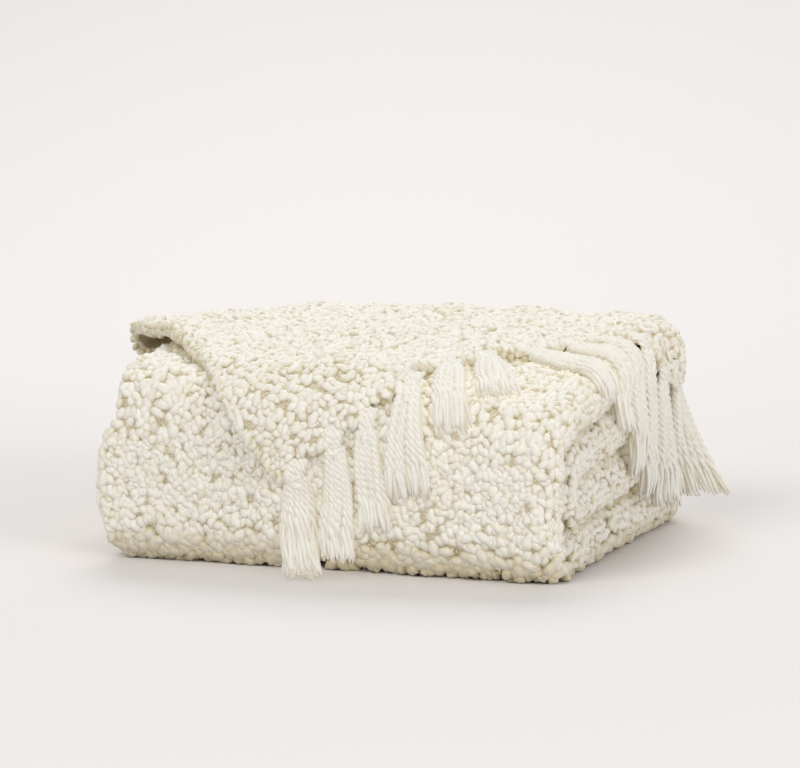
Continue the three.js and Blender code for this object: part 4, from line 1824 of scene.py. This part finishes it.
@dataclass(frozen=True)
class WeaveFinish(Wool):
    """Beige ground weave between the nubs: its thread and gap colours are the weave's own beige, darkened
    as painted shade for the shadow of the nubs, and where it lies closed in painted recess light makes it
    brighter and warmer.
    """

    # Thread and gap colours: the weave's own beige, darker as painted shade of the nubs over it.
    thread: Colour = (0.790, 0.730, 0.590)
    gap: Colour = (0.600, 0.525, 0.370)
    # Painted recess light: ground where few straight ways lead out turns towards this brighter, warmer
    # colour, in place of light bounced round the hollows.
    painted_recess_shading: Colour = (0.920, 0.810, 0.600)
    pitch: float = 0.0026
    crossing: float = 0.5
    fineness: float = 1800.0
    bump: float = 0.7
    bump_distance: float = 0.0008

    def material(self, group: bpy.types.NodeTree) -> bpy.types.Material:
        """Make the material.

        Args:
            group: The shared fibre group.

        Returns:
            The material.
        """
        material, nodes, shader = self.start("boucle_ground")
        fibre = self.fibre(nodes, group, self.fineness)
        flat = nodes.flat()
        rate = 2 * math.pi / self.pitch
        turns = [nodes.maths("MULTIPLY", flat.outputs[axis], rate) for axis in ("X", "Y")]
        waves = [nodes.maths("SINE", turn) for turn in turns]
        product = nodes.maths("MULTIPLY", *waves)
        crossing = nodes.maths("MULTIPLY_ADD", product, self.crossing, self.crossing)
        rough = nodes.maths("SUBTRACT", fibre.outputs["Height"], NOISE_MIDDLE)
        ragged = nodes.maths("ADD", crossing, rough)
        colour = nodes.blend(ragged, self.gap, self.thread)
        # Painted recess light: the ground turns brighter and warmer where it lies closed in.
        colour = nodes.blend(nodes.step("openness", self.open_span), self.painted_recess_shading, colour)
        self.wear(nodes, shader, colour, ragged)
        return material


@dataclass(frozen=True)
class YarnFinish(Wool):
    """Off-white plied yarn of the tassels, with painted shade on the lower rows of strands."""

    pale: Colour = (0.835, 0.808, 0.738)
    warm: Colour = (0.740, 0.680, 0.550)
    strokes: float = 9.0
    slant: float = 260.0
    stroke_height: float = 0.25
    fineness: float = 1300.0
    bump: float = 0.4

    def material(self, group: bpy.types.NodeTree) -> bpy.types.Material:
        """Make the material.

        Args:
            group: The shared fibre group.

        Returns:
            The material.
        """
        material, nodes, shader = self.start("fringe_yarn")
        fibre = self.fibre(nodes, group, self.fineness)
        flat = nodes.flat()
        turns = nodes.maths("MULTIPLY", flat.outputs["X"], 2 * math.pi * self.strokes)
        slant = nodes.maths("MULTIPLY", flat.outputs["Y"], 2 * math.pi * self.slant)
        wave = nodes.maths("SINE", nodes.maths("ADD", turns, slant))
        strokes = nodes.maths("MULTIPLY_ADD", wave, self.stroke_height, fibre.outputs["Height"])
        mottle = nodes.maths("SUBTRACT", fibre.outputs["Mottle"], NOISE_MIDDLE)
        # The tone blends towards warm both for painted shade on the lower rows of strands and for random
        # tone.
        colour = nodes.blend(nodes.maths("ADD", nodes.attribute("tone"), mottle), self.warm, self.pale)
        self.wear(nodes, shader, colour, strokes)
        return material


@dataclass
class SoftLight:
    """One large soft lamp aimed at the pile."""

    name: str
    place: tuple[float, float, float]
    size: float
    power: float
    aim: tuple[float, float, float] = (0.0, 0.0, 0.08)
    colour: Colour = (1.0, 1.0, 1.0)

    def build(self) -> bpy.types.Object:
        """Make the lamp."""
        data = bpy.data.lights.new(self.name, "AREA")
        data.size, data.energy, data.color = self.size, self.power, self.colour
        lamp = bpy.data.objects.new(self.name, data)
        lamp.location = self.place
        facing = Vector(self.aim) - Vector(self.place)
        lamp.rotation_euler = facing.to_track_quat("-Z", "Y").to_euler()
        bpy.context.scene.collection.objects.link(lamp)
        return lamp


@dataclass
class Studio:
    """Pale sweep, soft light and the camera."""

    floor_reach: float = 6.0
    floor_back: float = 1.9
    sweep_bend: float = 1.1
    sweep_rise: float = 0.48
    sweep_steps: int = 24
    floor_colour: Colour = (0.735, 0.705, 0.690)
    floor_roughness: float = 0.9
    world: float = 0.40
    camera_place: tuple[float, float, float] = (1.2693, -3.4740, 0.6526)
    camera_azimuth: float = 19.94
    camera_fall: float = 8.02
    focal_pixels: float = 4400.0
    frame_pixels: tuple[int, int] = (800, 768)
    sensor: float = 36.0
    lights: tuple[SoftLight, ...] = (
        SoftLight("key_light", (-0.8, 2.3, 2.9), 2.0, 69.0),
        SoftLight("front_light", (-0.9, -2.5, 2.5), 1.6, 51.0),
        SoftLight("side_light", (2.4, -1.2, 1.1), 1.6, 31.0),
        SoftLight("sweep_light", (-0.6, 0.7, 1.6), 1.2, 2.5, aim=(-0.75, 1.9, 0.5)),
    )

    def sweep(self) -> bpy.types.Object:
        """Floor that runs up into a low bend behind the pile."""
        turns = np.linspace(0.0, math.acos(1.0 - self.sweep_rise / self.sweep_bend), self.sweep_steps)
        flat_end = self.floor_back - self.sweep_bend
        depth = np.concatenate([[-self.floor_reach], flat_end + self.sweep_bend * np.sin(turns)])
        height = np.concatenate([[0.0], self.sweep_bend * (1.0 - np.cos(turns))])
        points = [(side * self.floor_reach, y, z) for y, z in zip(depth, height) for side in (-1.0, 1.0)]
        first = 2 * np.arange(len(depth) - 1)[:, None]
        mesh = bpy.data.meshes.new("studio_sweep")
        mesh.from_pydata(points, [], (first + (0, 1, 3, 2)).tolist())
        mesh.polygons.foreach_set("use_smooth", np.ones(len(mesh.polygons), bool))
        floor = bpy.data.objects.new("studio_sweep", mesh)
        bpy.context.scene.collection.objects.link(floor)
        material = bpy.data.materials.new("studio_paper")
        material.use_nodes = True
        shader = material.node_tree.nodes["Principled BSDF"]
        shader.inputs["Base Color"].default_value = (*self.floor_colour, 1.0)
        shader.inputs["Roughness"].default_value = self.floor_roughness
        floor.data.materials.append(material)
        return floor

    def camera(self) -> bpy.types.Object:
        """Camera at the viewing angle of the picture."""
        data = bpy.data.cameras.new("camera")
        data.sensor_width = self.sensor
        data.lens = self.sensor * self.focal_pixels / self.frame_pixels[0]
        camera = bpy.data.objects.new("camera", data)
        camera.location = self.camera_place
        pitch = math.radians(90 - self.camera_fall)
        camera.rotation_euler = (pitch, 0.0, math.radians(self.camera_azimuth))
        bpy.context.scene.collection.objects.link(camera)
        bpy.context.scene.camera = camera
        return camera

    def build(self) -> None:
        """Make floor, light and camera."""
        self.sweep()
        for light in self.lights:
            light.build()
        world = bpy.data.worlds.new("studio_air")
        world.use_nodes = True
        air = world.node_tree.nodes["Background"]
        air.inputs["Strength"].default_value = self.world
        air.inputs["Color"].default_value = (1.0, 1.0, 1.0, 1.0)
        bpy.context.scene.world = world
        bpy.context.scene.view_settings.view_transform = "Standard"
        self.camera()


def main() -> None:
    """Build the throw and the studio in order and note the sizes."""
    logging.basicConfig(level=logging.INFO, format="%(name)s %(message)s")
    form = FoldedForm(ClothSizes(), Settling(), FlapSizes())
    group = wool_fibre_group()
    Studio().build()
    cloth = GroundCloth(form).build(WeaveFinish().material(group))
    LOG.info("%s: %d quads", cloth.name, len(cloth.data.polygons))
    tassels = Fringe(form).build(YarnFinish().material(group))
    nubs = NubField(form).build(cloth, tassels, NubFinish().material(group))


if __name__ == "__main__":
    main()
